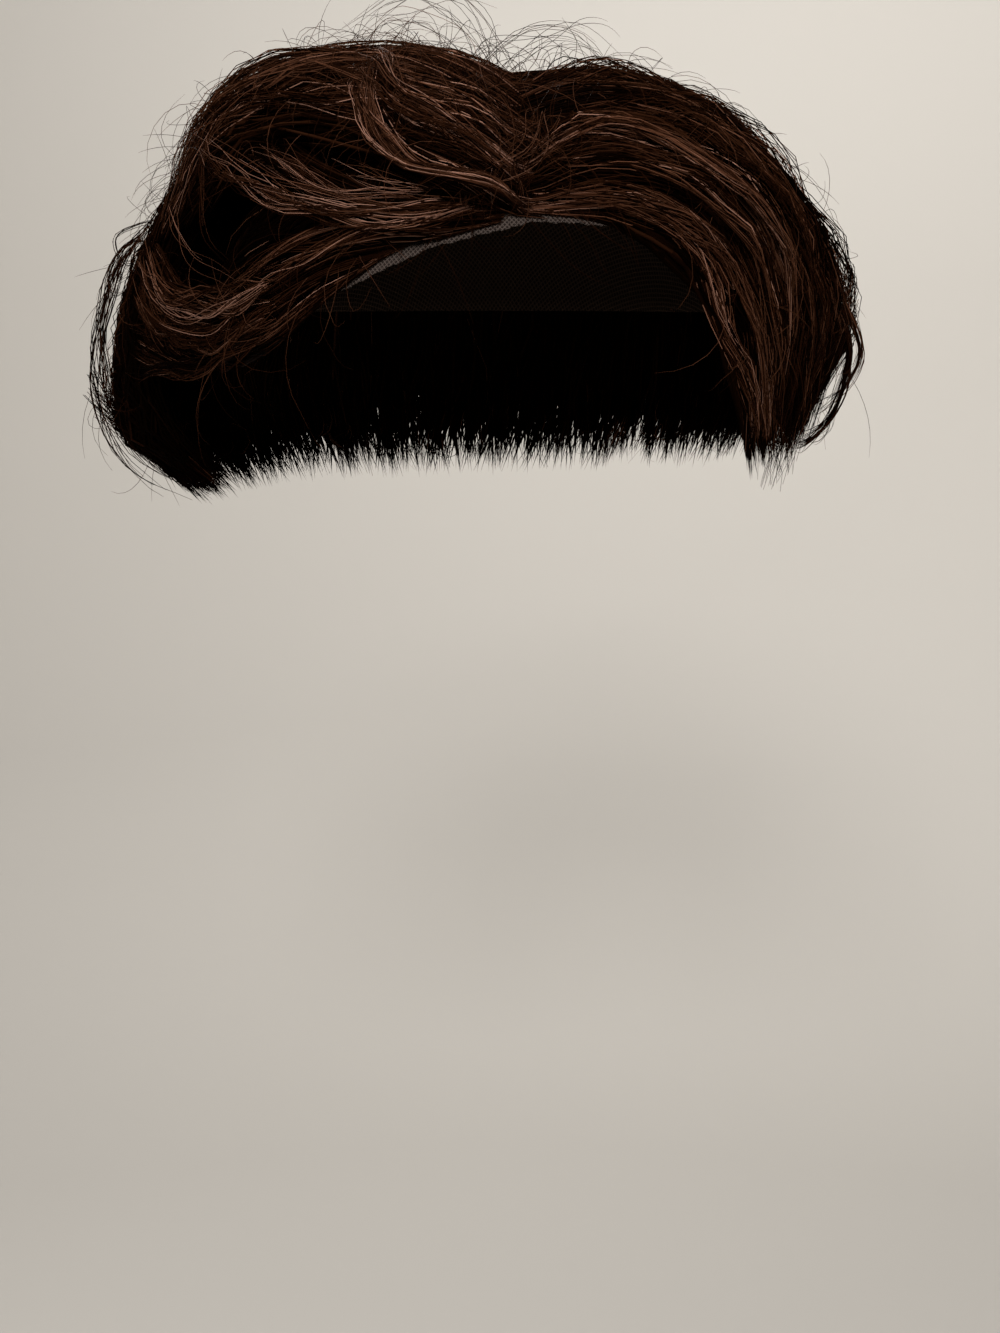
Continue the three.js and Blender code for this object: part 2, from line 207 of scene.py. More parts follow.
# %% Fans of hair
CHECK_POINTS = 50


def smooth_curve(controls, along):
    """A point of the smooth curve through each row of controls, a share of the way along it."""
    first_end = 2 * controls[..., :1, :] - controls[..., 1:2, :]
    last_end = 2 * controls[..., -1:, :] - controls[..., -2:-1, :]
    padded = np.concatenate([first_end, controls, last_end], axis=-2)
    reach = along * (controls.shape[-2] - 1)
    span = np.clip(np.floor(reach).astype(int), 0, controls.shape[-2] - 2)
    share = (reach - span)[..., None]
    before, start, end, after = [
        np.take_along_axis(padded, (span + step)[..., None, None], axis=-2)[..., 0, :] for step in range(4)
    ]
    gaps = [
        np.sqrt(np.maximum(np.linalg.norm(far - near, axis=-1, keepdims=True), NO_LENGTH))
        for near, far in ((before, start), (start, end), (end, after))
    ]
    leave = (start - before) / gaps[0] - (end - before) / (gaps[0] + gaps[1]) + (end - start) / gaps[1]
    arrive = (end - start) / gaps[1] - (after - start) / (gaps[1] + gaps[2]) + (after - end) / gaps[2]
    squared = share**2
    cubed = share**3
    return (
        (2 * cubed - 3 * squared + 1) * start
        + (cubed - 2 * squared + share) * (leave * gaps[1])
        + (3 * squared - 2 * cubed) * end
        + (cubed - squared) * (arrive * gaps[1])
    )


def fan_points(fan, across, along):
    """Points of a fan's outer surface, a share of the way across its guides and along them."""
    guides = np.array(HAIR_GUIDES[fan], float)
    ways, drops = ways_and_drops(guides[..., 0], guides[..., 1])
    reach = across * (len(guides) - 1)
    span = np.clip(np.floor(reach).astype(int), 0, len(guides) - 2)
    share = (reach - span)[..., None]
    way = unit(ways[span] * (1 - share[..., None]) + ways[span + 1] * share[..., None])
    drop = drops[span] * (1 - share) + drops[span + 1] * share
    lift = guides[span, :, 2] * (1 - share) + guides[span + 1, :, 2] * share
    return smooth_curve(place(way, drop, lift), along)


def distance_along(paths):
    """How far along its path each point lies."""
    steps = np.linalg.norm(np.diff(paths, axis=-2), axis=-1)
    return np.concatenate([np.zeros((*steps.shape[:-1], 1)), np.cumsum(steps, axis=-1)], axis=-1)


for fan in HAIR_GUIDES:
    middle = fan_points(fan, np.full(CHECK_POINTS, 0.5), np.linspace(0, 1, CHECK_POINTS))
    print(fan, "hair length in mm", round(distance_along(middle)[-1]))

# %% [markdown]
# How hair gathers
#
# Hair is never even. Single hairs gather into wisps of a few dozen, wisps gather into locks, and each lock
# waves as one. A particle system could comb this, but a strand that is worked out from its fan stays
# exactly where the solid is, and it comes out the same on every run. Each fan has its number of locks and
# its depth from the solids. The other columns say how many strands it has of each kind, how far its tips
# dive into the hair below, how high its waves are, how light its strands are and how far its locks are
# raised. How light the strands are is partly painted shade: the sides and the under layer, which lie in
# shade, have dark strands. Two locks lie lower than their neighbours, as grooves.

# %% How each fan grows
FAN_COLUMNS = ("locks", "depth", "fine", "coarse", "flyaways", "curls", "dive", "wave", "tone", "raise")
# The tone column is partly painted shade: right_side, left_side and under_layer get dark strands.
FAN_ROWS = {
    "right_sweep": (6, 9, 980, 360, 160, 40, 1.0, 1.8, 0.5, 1.5),
    "right_side": (9, 11, 1220, 900, 330, 200, 1.0, 2.6, 0.27, 2.2),
    "back": (9, 11, 860, 1500, 320, 100, 1.0, 3.0, 0.44, 0.5),
    "left_side": (7, 11, 880, 1080, 340, 140, 1.0, 3.6, 0.15, 0),
    "left_crest": (8, 12, 1060, 340, 640, 0, 2.0, 1.9, 0.48, 4.0),
    "crest_curl": (4, 8, 390, 40, 200, 0, 2.0, 1.2, 0.5, 0),
    "brow_sweep": (3, 8, 300, 60, 60, 0, 5.0, 1.4, 0.42, 0),
    "temple_wave": (5, 9, 660, 200, 140, 60, 1.5, 1.4, 0.42, 0),
    "under_layer": (3, 10, 120, 420, 0, 0, 1.0, 1.4, 0.2, 0),
}
FAN_GROWTH = {fan: dict(zip(FAN_COLUMNS, row)) for fan, row in FAN_ROWS.items()}
SEED = 41
FAN_SEEDS = {fan: SEED + number for number, fan in enumerate(FAN_ROWS)}
SUNK_LOCKS = {"right_side": (0, 3.5), "left_crest": (7, 6.0)}
print("combed strands", sum(growth["fine"] + growth["coarse"] for growth in FAN_GROWTH.values()))

# %% [markdown]
# Wisps and locks
#
# What the strands of a wisp share is drawn once for the wisp: its place, its depth, its end and its tone.
# What the wisps of a lock share is drawn once for the lock: its tilt, how far it is buried, how tightly its
# tips are pinched, and its wave. A buried lock's tone is darkened as painted shade. They could be set by
# hand, but there are hundreds. Each fan draws its own from a seed, so every run is alike, and a change to
# one fan leaves the others as they are.

# %% Wisps and their locks
WISPS_PER_LOCK = 8
LOCK_WAVES = (60, 100)
WISP_WAVES = (44, 75)
WAVE_HEIGHTS = (0.4, 1.3)
LOCK_OUT_WAVE = 0.7
WISP_SIDE_WAVE = 0.7
WISP_OUT_WAVE = 0.6
LOCK_BURY = 2.5
LOCK_PINCHES = (0.25, 0.7)
LOCK_TILTS = (2, 5)
BURIED_PAINTED_SHADE = 0.04
WISP_PLACES = (0.02, 0.98)
WISP_LEAN = 0.3
WISP_CROWDING = 1.6
WISP_ENDS = (0.93, 1)
WISP_TONES = 0.2


def random_waves(rng, number, lengths, height):
    """For each of a number of waves its rate for each millimetre, its phase and its height."""
    heights = height * rng.uniform(*WAVE_HEIGHTS, number)
    return np.stack([1 / rng.uniform(*lengths, number), rng.uniform(0, 1, number), heights], axis=-1)


def wave_shift(waves, distance):
    """How far waves, one in each row, shift a strand at those distances along it."""
    rate, phase, height = np.moveaxis(waves, -1, 0)
    return height * np.sin(2 * math.pi * (rate * distance + phase))


def fan_wisps(fan):
    """What each wisp of a fan has of its own, and what it shares with the other wisps of its lock."""
    rng = np.random.default_rng(FAN_SEEDS[fan])
    locks = FAN_GROWTH[fan]["locks"]
    wave = FAN_GROWTH[fan]["wave"]
    number = locks * WISPS_PER_LOCK
    lock = np.arange(number) % locks
    bury = rng.uniform(0, LOCK_BURY, locks) - FAN_GROWTH[fan]["raise"]
    if fan in SUNK_LOCKS:
        sunk, drop = SUNK_LOCKS[fan]
        bury[sunk] += drop
    # Painted shade: the strands of a buried lock are made darker.
    buried_painted_shade = BURIED_PAINTED_SHADE * np.maximum(bury, 0)[lock]
    return {
        "across": (lock + rng.uniform(*WISP_PLACES, number)) / locks,
        "middle": (lock + 0.5) / locks,
        "lean": rng.normal(0, WISP_LEAN, number) / locks,
        "pinch": rng.uniform(*LOCK_PINCHES, locks)[lock],
        "tilt": (rng.choice([-1, 1], locks) * rng.uniform(*LOCK_TILTS, locks))[lock],
        "bury": bury[lock],
        "depth": rng.uniform(0, 1, number) ** WISP_CROWDING,
        "end": rng.uniform(*WISP_ENDS, number),
        "tone": rng.normal(FAN_GROWTH[fan]["tone"], WISP_TONES, number) - buried_painted_shade,
        "lock_side": random_waves(rng, locks, LOCK_WAVES, wave)[lock],
        "lock_out": random_waves(rng, locks, LOCK_WAVES, LOCK_OUT_WAVE * wave)[lock],
        "wisp_side": random_waves(rng, number, WISP_WAVES, WISP_SIDE_WAVE * wave),
        "wisp_out": random_waves(rng, number, WISP_WAVES, WISP_OUT_WAVE * wave),
    }


for fan in FAN_ROWS:
    print(fan, "wisps", len(fan_wisps(fan)["across"]))

# %% [markdown]
# Where strands run
#
# A strand starts in its wisp with plenty of room and closes up with the others towards the tip, so wisps
# end in points. A few stray from their wisp altogether. Below them lie strands that only fill the form.
# Those are spread evenly and end in points like the locks above them, so that no light comes through and no
# straight edge shows. A sheet could fill the form too, but its edge would show between the ends.

# %% Strands across and along a fan
STRAND_START = -0.05
STRAND_ENDS = (0.95, 1)
FILL_START = 0.05
FILL_ENDS = (0.94, 1)
FILL_SWAY = 0.03
LOCK_POINT = 0.1
ROOT_SPREAD = 0.16
ROOT_CROWDING = 3
SPREAD_ALONG = [0, 0.3, 0.75, 1]
SPREAD_SHARES = [0.3, 0.13, 0.08, 0.06]
LOOSE_SHARE = 0.35
LOOSE_SPREAD = 3.0
STRAY_SHARE = 0.06
GATHER_ALONG = (0.15, 0.9)
WANDER_ALONG = (0.1, 1)
TIP_LEVEL = 0.9
TIP_SPOTS = 60
FAN_EDGES = (-0.03, 1.03)


class StrandDraws:
    """Random values for a number of strands, one in each row."""

    def __init__(self, rng, count):
        self.rng = rng
        self.count = count

    def even(self, low, high):
        return self.rng.uniform(low, high, self.count)[:, None]

    def bell(self, spread):
        return self.rng.normal(0, spread, self.count)[:, None]


def ease(low, high, values):
    """Rises smoothly from 0 at low to 1 at high."""
    share = np.clip((values - low) / (high - low), 0, 1)
    return share * share * (3 - 2 * share)


def even_across(fan, shares):
    """Places across a fan that are spread evenly over its width near the tips."""
    spots = np.linspace(0, 1, TIP_SPOTS)
    width = distance_along(fan_points(fan, spots, np.full(TIP_SPOTS, TIP_LEVEL)))
    return np.interp(shares * width[-1], width, spots)


def strand_runs(fan, own, rings, draws, fill):
    """Where strands lie across a fan to begin with, and how far along it their rings are."""
    if fill:
        home = even_across(fan, draws.even(0, 1))
        off_middle = 2 * ((home * FAN_GROWTH[fan]["locks"]) % 1) - 1
        end = draws.even(*FILL_ENDS) - LOCK_POINT * off_middle**2
    else:
        home = own["across"]
        end = own["end"] * draws.even(*STRAND_ENDS)
    root = draws.even(0, 1) ** ROOT_CROWDING * ROOT_SPREAD
    start = root + (FILL_START if fill else STRAND_START)
    return home, start + (end - start) * np.linspace(0, 1, rings)


def strand_spread(fan, own, home, along, draws, fill):
    """Where strands lie across a fan at each ring, and how loosely."""
    room = np.where(draws.even(0, 1) < LOOSE_SHARE, LOOSE_SPREAD, 1)
    loose = room * np.interp(along, SPREAD_ALONG, SPREAD_SHARES)
    gather = own["pinch"] * (own["middle"] - own["across"]) * ease(*GATHER_ALONG, along)
    later = ease(*WANDER_ALONG, along)
    wander = own["lean"] * later + gather
    stray = np.where(draws.even(0, 1) < STRAY_SHARE, draws.bell(1), 0) * later
    spread = draws.bell(1)
    if fill:
        return home + FILL_SWAY * spread * later, loose
    return home + wander + (spread * loose + stray) / FAN_GROWTH[fan]["locks"], loose


print("quarters of the back near its tips", even_across("back", np.array([0.25, 0.5, 0.75])).round(2))

# %% [markdown]
# How deep strands lie
#
# A section of hair is about a centimetre deep. Each strand follows the fan's surface at a depth of its own.
# A lock is a ridge, so strands near its edges lie lower, in the groove beside the next lock. Towards roots
# and tips the section is thinner, and the last part of a tip dives into the hair below.

# %% Strands below the surface
DEPTH_ALONG = [0, 0.25, 0.7, 0.9, 1]
DEPTH_SHARES = [0.6, 1, 0.85, 0.55, 0.2]
DEPTH_SPREAD = 0.4
DEPTH_SWAY = 0.1
DEPTH_SWAYS = (0.6, 1.6)
FILL_DEPTHS = (0.35, 1)
LOCK_RIDGE = 4.2
RIDGE_LIMIT = 1.2
LOCK_REACH = 0.8
DIVE_ALONG = (0.72, 1)
DIVES = (0.3, 1)


def strand_depths(fan, own, across, along, loose, draws, fill):
    """The share of a fan's depth at which strands lie, and how far below its surface that is."""
    growth = FAN_GROWTH[fan]
    depth = own["depth"] + draws.bell(DEPTH_SPREAD) * loose
    sway = along * draws.even(*DEPTH_SWAYS) + draws.even(0, 1)
    depth = depth + DEPTH_SWAY * np.sin(2 * math.pi * sway)
    if fill:
        depth = draws.even(*FILL_DEPTHS)
    depth = np.clip(depth, 0, 1)
    in_lock = np.clip((across - own["middle"]) * growth["locks"], -LOCK_REACH, LOCK_REACH)
    form = LOCK_RIDGE * np.minimum(4 * in_lock**2, RIDGE_LIMIT) + own["tilt"] * in_lock + own["bury"]
    form = np.zeros_like(form) if fill else np.maximum(form, -growth["raise"])
    taper = np.interp(along, DEPTH_ALONG, DEPTH_SHARES)
    sink = taper * (growth["depth"] * depth + form * (1 - depth))
    return depth, sink + growth["dive"] * ease(*DIVE_ALONG, along) * draws.even(*DIVES)


print("depths of the fans in mm", {fan: growth["depth"] for fan, growth in FAN_GROWTH.items()})

# %% [markdown]
# Combing
#
# On top of that come the wave of the lock, the smaller one of the wisp, and some frizz of the strand's own.
# The first few millimetres of each strand bend down to the net, where the hair is knotted in. Combing by
# hand in Blender's sculpt mode would be lost on the next run, and these paths are the same each time.

# %% Comb strands along a fan
BASE_WALL = 1.2
KNOT_HEIGHT = 0.2
KNOT_LIFT = BASE_WALL + KNOT_HEIGHT
KNOT_SHARE = 0.11
FREE_ALONG = (0.05, 0.5)
FRIZZ_HEIGHT = 0.35
FRIZZ_SHARES = (0.2, 1.8)
FRIZZ_TURNS = (1.2, 3.2)
FRIZZ_OUT_RATE = 1.3
STRAND_TONES = 0.22
# Painted shade: the next two darken strands that lie deeper and the fill strands below them.
DEPTH_PAINTED_SHADE = 0.45
FILL_PAINTED_SHADE = 0.6
CHECK_STRANDS = 200
CHECK_RINGS = 12


def strand_waves(own, along, distance, draws):
    """How far waves and frizz shift strands across their fan, and how far away from the head."""
    free = ease(*FREE_ALONG, along)
    turn = 2 * math.pi * (along * draws.even(*FRIZZ_TURNS) + draws.even(0, 1))
    frizz = FRIZZ_HEIGHT * draws.even(*FRIZZ_SHARES)
    side, out = [
        wave_shift(own["lock_" + way], distance) + wave_shift(own["wisp_" + way], distance)
        for way in ("side", "out")
    ]
    return free * (side + frizz * np.sin(turn)), free * (out + frizz * np.cos(FRIZZ_OUT_RATE * turn))


def comb(fan, wisps, count, rings, rng, fill=False):
    """Paths of combed strands in millimetres, how far along the fan their rings are, and their tones with
    painted shade.
    """
    wisp = rng.integers(0, len(wisps["across"]), count)
    own = {column: values[wisp][:, None] for column, values in wisps.items()}
    draws = StrandDraws(rng, count)
    home, along = strand_runs(fan, own, rings, draws, fill)
    across, loose = strand_spread(fan, own, home, along, draws, fill)
    surface = fan_points(fan, np.clip(across, *FAN_EDGES), along)
    outward = outward_at(surface)
    sideways = unit(np.cross(np.gradient(surface, axis=1), outward))
    depth, sink = strand_depths(fan, own, across, along, loose, draws, fill)
    side_shift, out_shift = strand_waves(own, along, distance_along(surface), draws)
    paths = surface + outward * (out_shift - sink)[..., None] + sideways * side_shift[..., None]
    knotted = 1 - ease(0, KNOT_SHARE, np.linspace(0, 1, rings))
    paths = paths - outward * (knotted * (lift_of(paths) - KNOT_LIFT))[..., None]
    # Painted shade: deeper strands, and fill strands still more, are made darker.
    tone = own["tone"][:, 0] + draws.bell(STRAND_TONES)[:, 0] - DEPTH_PAINTED_SHADE * depth.mean(axis=1)
    return keep_off_head(paths, KNOT_LIFT), along, np.clip(tone * (FILL_PAINTED_SHADE if fill else 1), 0, 1)


check_rng = np.random.default_rng(SEED)
paths, _, _ = comb("right_sweep", fan_wisps("right_sweep"), CHECK_STRANDS, CHECK_RINGS, check_rng)
print("combed strand length in mm", round(distance_along(paths)[:, -1].mean()))

# %% [markdown]
# Hairs that leave the fan
#
# What makes hair look soft is the hair that isn't combed. Short flyaways stand off the outline all round
# and bend back in thin arcs. Each starts from a point and a direction on its fan and goes its own way from
# there, so a plain arc is enough. Those that would reach too far from the solids are left out.

# %% Flyaways
FLYAWAY_LENGTHS = (8, 42)
FLYAWAY_TURNS = (0.4, 3.6)
FLYAWAY_LAST = 0.85
FLYAWAY_CROWDING = 1.4
FLYAWAY_WAYS = ((-0.3, 1), (0.2, 1), (-1, 1))
FLYAWAY_BENDS = ((-0.4, 1), (-0.2, 1), (-1, 1))
FLYAWAY_ROOT = 1.5
FLYAWAY_ALONG = (0.3, 1)
FLYAWAY_TONES = (0.3, 0.7)
STAND_OFF = 12.0
STEP_ALONG = 0.01
MM_PER_M = 1000
ROOM_SHARE = 0.9
ROOM_PLAIN = 10
ROOM_OF_SIZE = 0.03
ROOM_ROUND_CAD = ROOM_SHARE * (ROOM_PLAIN + ROOM_OF_SIZE * MM_PER_M * np.array(cad_high - cad_low))
ROOM_LOW = MM_PER_M * np.array(cad_low) - ROOM_ROUND_CAD
ROOM_HIGH = MM_PER_M * np.array(cad_high) + ROOM_ROUND_CAD


def square_to(vectors, way):
    """Directions of vectors once what lies along a way is taken out of them."""
    return unit(vectors - way * (vectors * way).sum(axis=-1, keepdims=True))


def fan_frame(fan, across, along):
    """Points on a fan and the directions along it, away from the head and across."""
    points = fan_points(fan, across, along)
    tangent = unit(fan_points(fan, across, np.minimum(along + STEP_ALONG, 1 + STEP_ALONG)) - points)
    outward = square_to(outward_at(points), tangent)
    return points, tangent, outward, np.cross(tangent, outward)


def flyaways(fan, count, rings, rng):
    """Thin hairs that leave a fan's surface and bend round in arcs."""
    across = rng.uniform(0, 1, count)
    along = FLYAWAY_LAST * rng.uniform(0, 1, count) ** FLYAWAY_CROWDING
    points, tangent, outward, sideways = fan_frame(fan, across, along)
    draws = StrandDraws(rng, count)
    ahead, out, beside = [draws.even(*limits) for limits in FLYAWAY_WAYS]
    way = unit(ahead * tangent + out * outward + beside * sideways)
    ahead, back, beside = [draws.even(*limits) for limits in FLYAWAY_BENDS]
    bend = square_to(ahead * tangent - back * outward + beside * sideways, way)
    length = draws.even(*FLYAWAY_LENGTHS)
    turn = draws.even(*FLYAWAY_TURNS)
    angle = (turn * np.linspace(0, 1, rings))[..., None]
    arc = np.sin(angle) * way[:, None] + (1 - np.cos(angle)) * bend[:, None]
    paths = (points - FLYAWAY_ROOT * outward)[:, None] + (length / turn)[..., None] * arc
    paths = keep_off_head(paths, KNOT_LIFT)
    inside = ((paths > ROOM_LOW) & (paths < ROOM_HIGH)).all(axis=(1, 2))
    near = lift_of(paths).max(axis=1) - lift_of(points) < STAND_OFF
    kept = paths[inside & near]
    along_hair = np.repeat(np.linspace(*FLYAWAY_ALONG, rings)[None, :], len(kept), axis=0)
    return kept, along_hair, rng.uniform(*FLYAWAY_TONES, len(kept))


print("room round the solids in mm", ROOM_ROUND_CAD.round(1))

# %% [markdown]
# Curled ends
#
# At the ends some wisps turn right round into loose curls. Real ones come from the way the hair
# was set. Here a strand runs straight on near its tip and then goes round a circle that shrinks a little. A
# spiral curve could be drawn for each, but the circle needs no more than a radius and a turn for each wisp.

# %% Curled ends
CURL_SPREAD = 0.02
CURL_STARTS = (0.8, 0.93)
CURL_START_SPREAD = 0.01
CURL_LEAN = 0.7
CURL_DEPTH = 3
CURL_RADII = (3.5, 7)
CURL_RADIUS_SPREAD = 0.5
CURL_TURNS = (2.2, 5.2)
CURL_LEAD = 22
CURL_LEAD_SHARE = 0.9
CURL_SHRINK = 0.35
CURL_SLIP = 2.5
CURL_ALONG = (0.7, 1)
CURL_LIGHTER = 0.05


def curled_ends(fan, wisps, count, rings, rng):
    """Strands near the tips of a fan that turn round into curls."""
    number = len(wisps["across"])
    wisp = rng.integers(0, number, count)
    across = np.clip(wisps["across"][wisp] + rng.normal(0, CURL_SPREAD, count), 0, 1)
    leave = rng.uniform(*CURL_STARTS, number)[wisp] + rng.normal(0, CURL_START_SPREAD, count)
    points, tangent, outward, sideways = fan_frame(fan, across, leave)
    lean = rng.normal(0, CURL_LEAN, number)[wisp][:, None]
    toward = unit(-outward + lean * sideways)
    points = points - outward * rng.uniform(0, CURL_DEPTH, count)[:, None]
    radius = rng.uniform(*CURL_RADII, number)[wisp] + rng.normal(0, CURL_RADIUS_SPREAD, count)
    run = np.linspace(-CURL_LEAD_SHARE, 1, rings)[None, :, None]
    curl = np.maximum(run, 0)
    angle = curl * rng.uniform(*CURL_TURNS, count)[:, None, None]
    straight = np.minimum(run, 0) * CURL_LEAD
    shrunk = radius[:, None, None] * (1 - CURL_SHRINK * curl)
    slip = curl * rng.normal(0, CURL_SLIP, count)[:, None, None] * sideways[:, None]
    paths = points[:, None] + (straight + shrunk * np.sin(angle)) * tangent[:, None]
    paths = paths + shrunk * (1 - np.cos(angle)) * toward[:, None] + slip
    along = np.repeat(np.linspace(*CURL_ALONG, rings)[None, :], count, axis=0)
    return keep_off_head(paths, KNOT_LIFT), along, np.clip(wisps["tone"][wisp] + CURL_LIGHTER, 0, 1)


print("curled strands", sum(growth["curls"] for growth in FAN_GROWTH.values()))

# %% [markdown]
# Loose locks of the left
#
# Some locks have come away from the rest, and they are what one remembers of this topper: the curl beside
# the parting, the sweep below it, the troughs over the temple and the loops at the side. Each is a bundle
# of strands round a curve of its own. It is given by its tone, its width in millimetres, its number of
# strands, and places round the head. Its tone is partly painted light: the bright brow, trough and gap
# strands are painted highlight, and the dark locks of the outer side are painted shade. A few thin hairs
# on their own are given in the same way.

# %% Loose locks of the left
LEFT_LOCKS = {
    "hair_left_crest": {
        "curl_edge": (0.52, 7, 55, [
            (5, 61, 3.5), (-1, 60.5, 12), (-8, 61.5, 18.5), (-14, 61, 22.5), (-19, 57.5, 24),
            (-25, 50.5, 23), (-33, 41, 20), (-50, 30.5, 14), (-64, 26, 9),
        ]),
        "curl_middle": (0.55, 9, 40, [
            (4, 55, 5), (-4, 55, 15), (-11, 54, 21), (-18, 51, 23.5), (-24, 46, 23), (-33, 39, 20.5),
            (-47, 31, 16), (-60, 26, 11),
        ]),
        "gap_upper": (0.75, 6, 10, [(-13, 62, 12), (-18, 62, 16), (-24, 60.5, 18.5), (-30, 59, 20)]),
        "crest_arcs": (0.4, 20, 14, [
            (4, 42, 6), (-6, 37, 19), (-16, 33, 26), (-30, 31, 27), (-44, 32, 23), (-56, 34, 20),
        ]),
        "short_root_middle": (0.6, 5, 8, [(-1, 56, 10), (-2.5, 59.5, 7), (-3, 62.5, 2)]),
    },
    "hair_left_temple": {
        "gap_lower": (0.6, 4, 5, [(-2, 58, 4), (-10, 60.5, 12), (-17, 60.5, 15), (-26, 58, 16)]),
        "brow_lock": (0.66, 9, 50, [
            (-5, 61, 4), (-11, 64, 9), (-17, 66, 12.5), (-24, 66.5, 15.5), (-30, 66, 18.5),
            (-37, 65, 21), (-44, 63, 24), (-54, 60, 27), (-68, 56, 30),
        ]),
        # Painted highlight: these thin strands are given a bright tone.
        "brow_upper": (0.75, 7, 14, [
            (-12, 60.5, 8), (-19, 63, 13), (-26, 64, 17), (-32, 63, 20.5), (-38, 61, 24), (-44, 58, 27),
        ]),
        "hairline_lock": (0.62, 8, 35, [
            (-12, 64.5, 3), (-24, 65.5, 8), (-32, 68, 10.5), (-41, 71, 11.5), (-49, 74, 11.5),
            (-57, 77, 12.5),
        ]),
        "upper_trough": (0.59, 9, 40, [
            (-46, 75, 10), (-53, 77.5, 11), (-61, 79, 13), (-70, 80, 18), (-78, 78, 26), (-86, 73, 34),
        ]),
        "lower_trough": (0.6, 9, 45, [
            (-47, 79, 7), (-52, 81, 8), (-59, 84, 9), (-68, 85.5, 13), (-76, 84, 20), (-83, 80, 28),
            (-88, 75, 33),
        ]),
        "temple_edge": (0.35, 8, 30, [
            (-52, 84, 6), (-60, 87, 8), (-70, 89, 12), (-80, 90, 20), (-90, 91, 30), (-99, 92, 41),
        ]),
        # Painted highlight: a few bright strands across the temple.
        "temple_bridge": (0.9, 6, 4, [(-82, 65, 29), (-76, 69, 23), (-66, 73, 16), (-52, 77, 11)]),
        "temple_hollow": (0.5, 4, 8, [
            (-66, 52, 30), (-70, 57, 27), (-72, 63, 22), (-70, 68, 18), (-60, 72, 13),
        ]),
        "short_root_left": (0.6, 5, 8, [(-7, 57.5, 11), (-8, 60.5, 8), (-9, 63.5, 2)]),
        "hanging_loop": (0.3, 1.5, 2, [
            (-4, 61, 4), (-5, 66, 7), (-3, 70, 9), (1, 70, 8), (2, 66, 6), (1, 62, 4),
        ]),
    },
    "hair_left_side": {
        # Painted shade: the outer side locks are given dark tones.
        "left_outer": (0.35, 10, 26, [
            (-97, 70, 36), (-101, 77, 46), (-104, 85, 51), (-107, 94, 55), (-109, 104, 55),
            (-111, 112.5, 50), (-113, 118.5, 42), (-114, 122, 32),
        ]),
        "left_inner": (0.35, 9, 40, [
            (-98, 75, 36), (-102, 83, 43), (-105, 91, 47), (-107, 99.5, 47), (-110, 108, 43),
            (-112, 114.5, 35), (-114, 119, 25),
        ]),
        "crown_left": (0.3, 20, 90, [
            (-165, 9, 3), (-128, 16, 7), (-108, 28, 10), (-103, 42, 14), (-104, 58, 20),
        ]),
        "left_loop": (0.45, 3, 10, [
            (-94, 68, 32), (-98, 70.5, 41), (-101, 73.5, 48), (-102, 76, 46), (-101, 76, 40),
            (-99, 73, 37), (-98, 71.5, 40),
        ]),
        "left_lower_loop": (0.45, 3, 10, [
            (-92, 72, 33), (-97, 74, 42), (-100, 78, 47), (-99, 81, 44), (-96, 79, 38), (-95, 75, 37),
        ]),
    },
}
print("loose locks of the left", sum(len(locks) for locks in LEFT_LOCKS.values()))
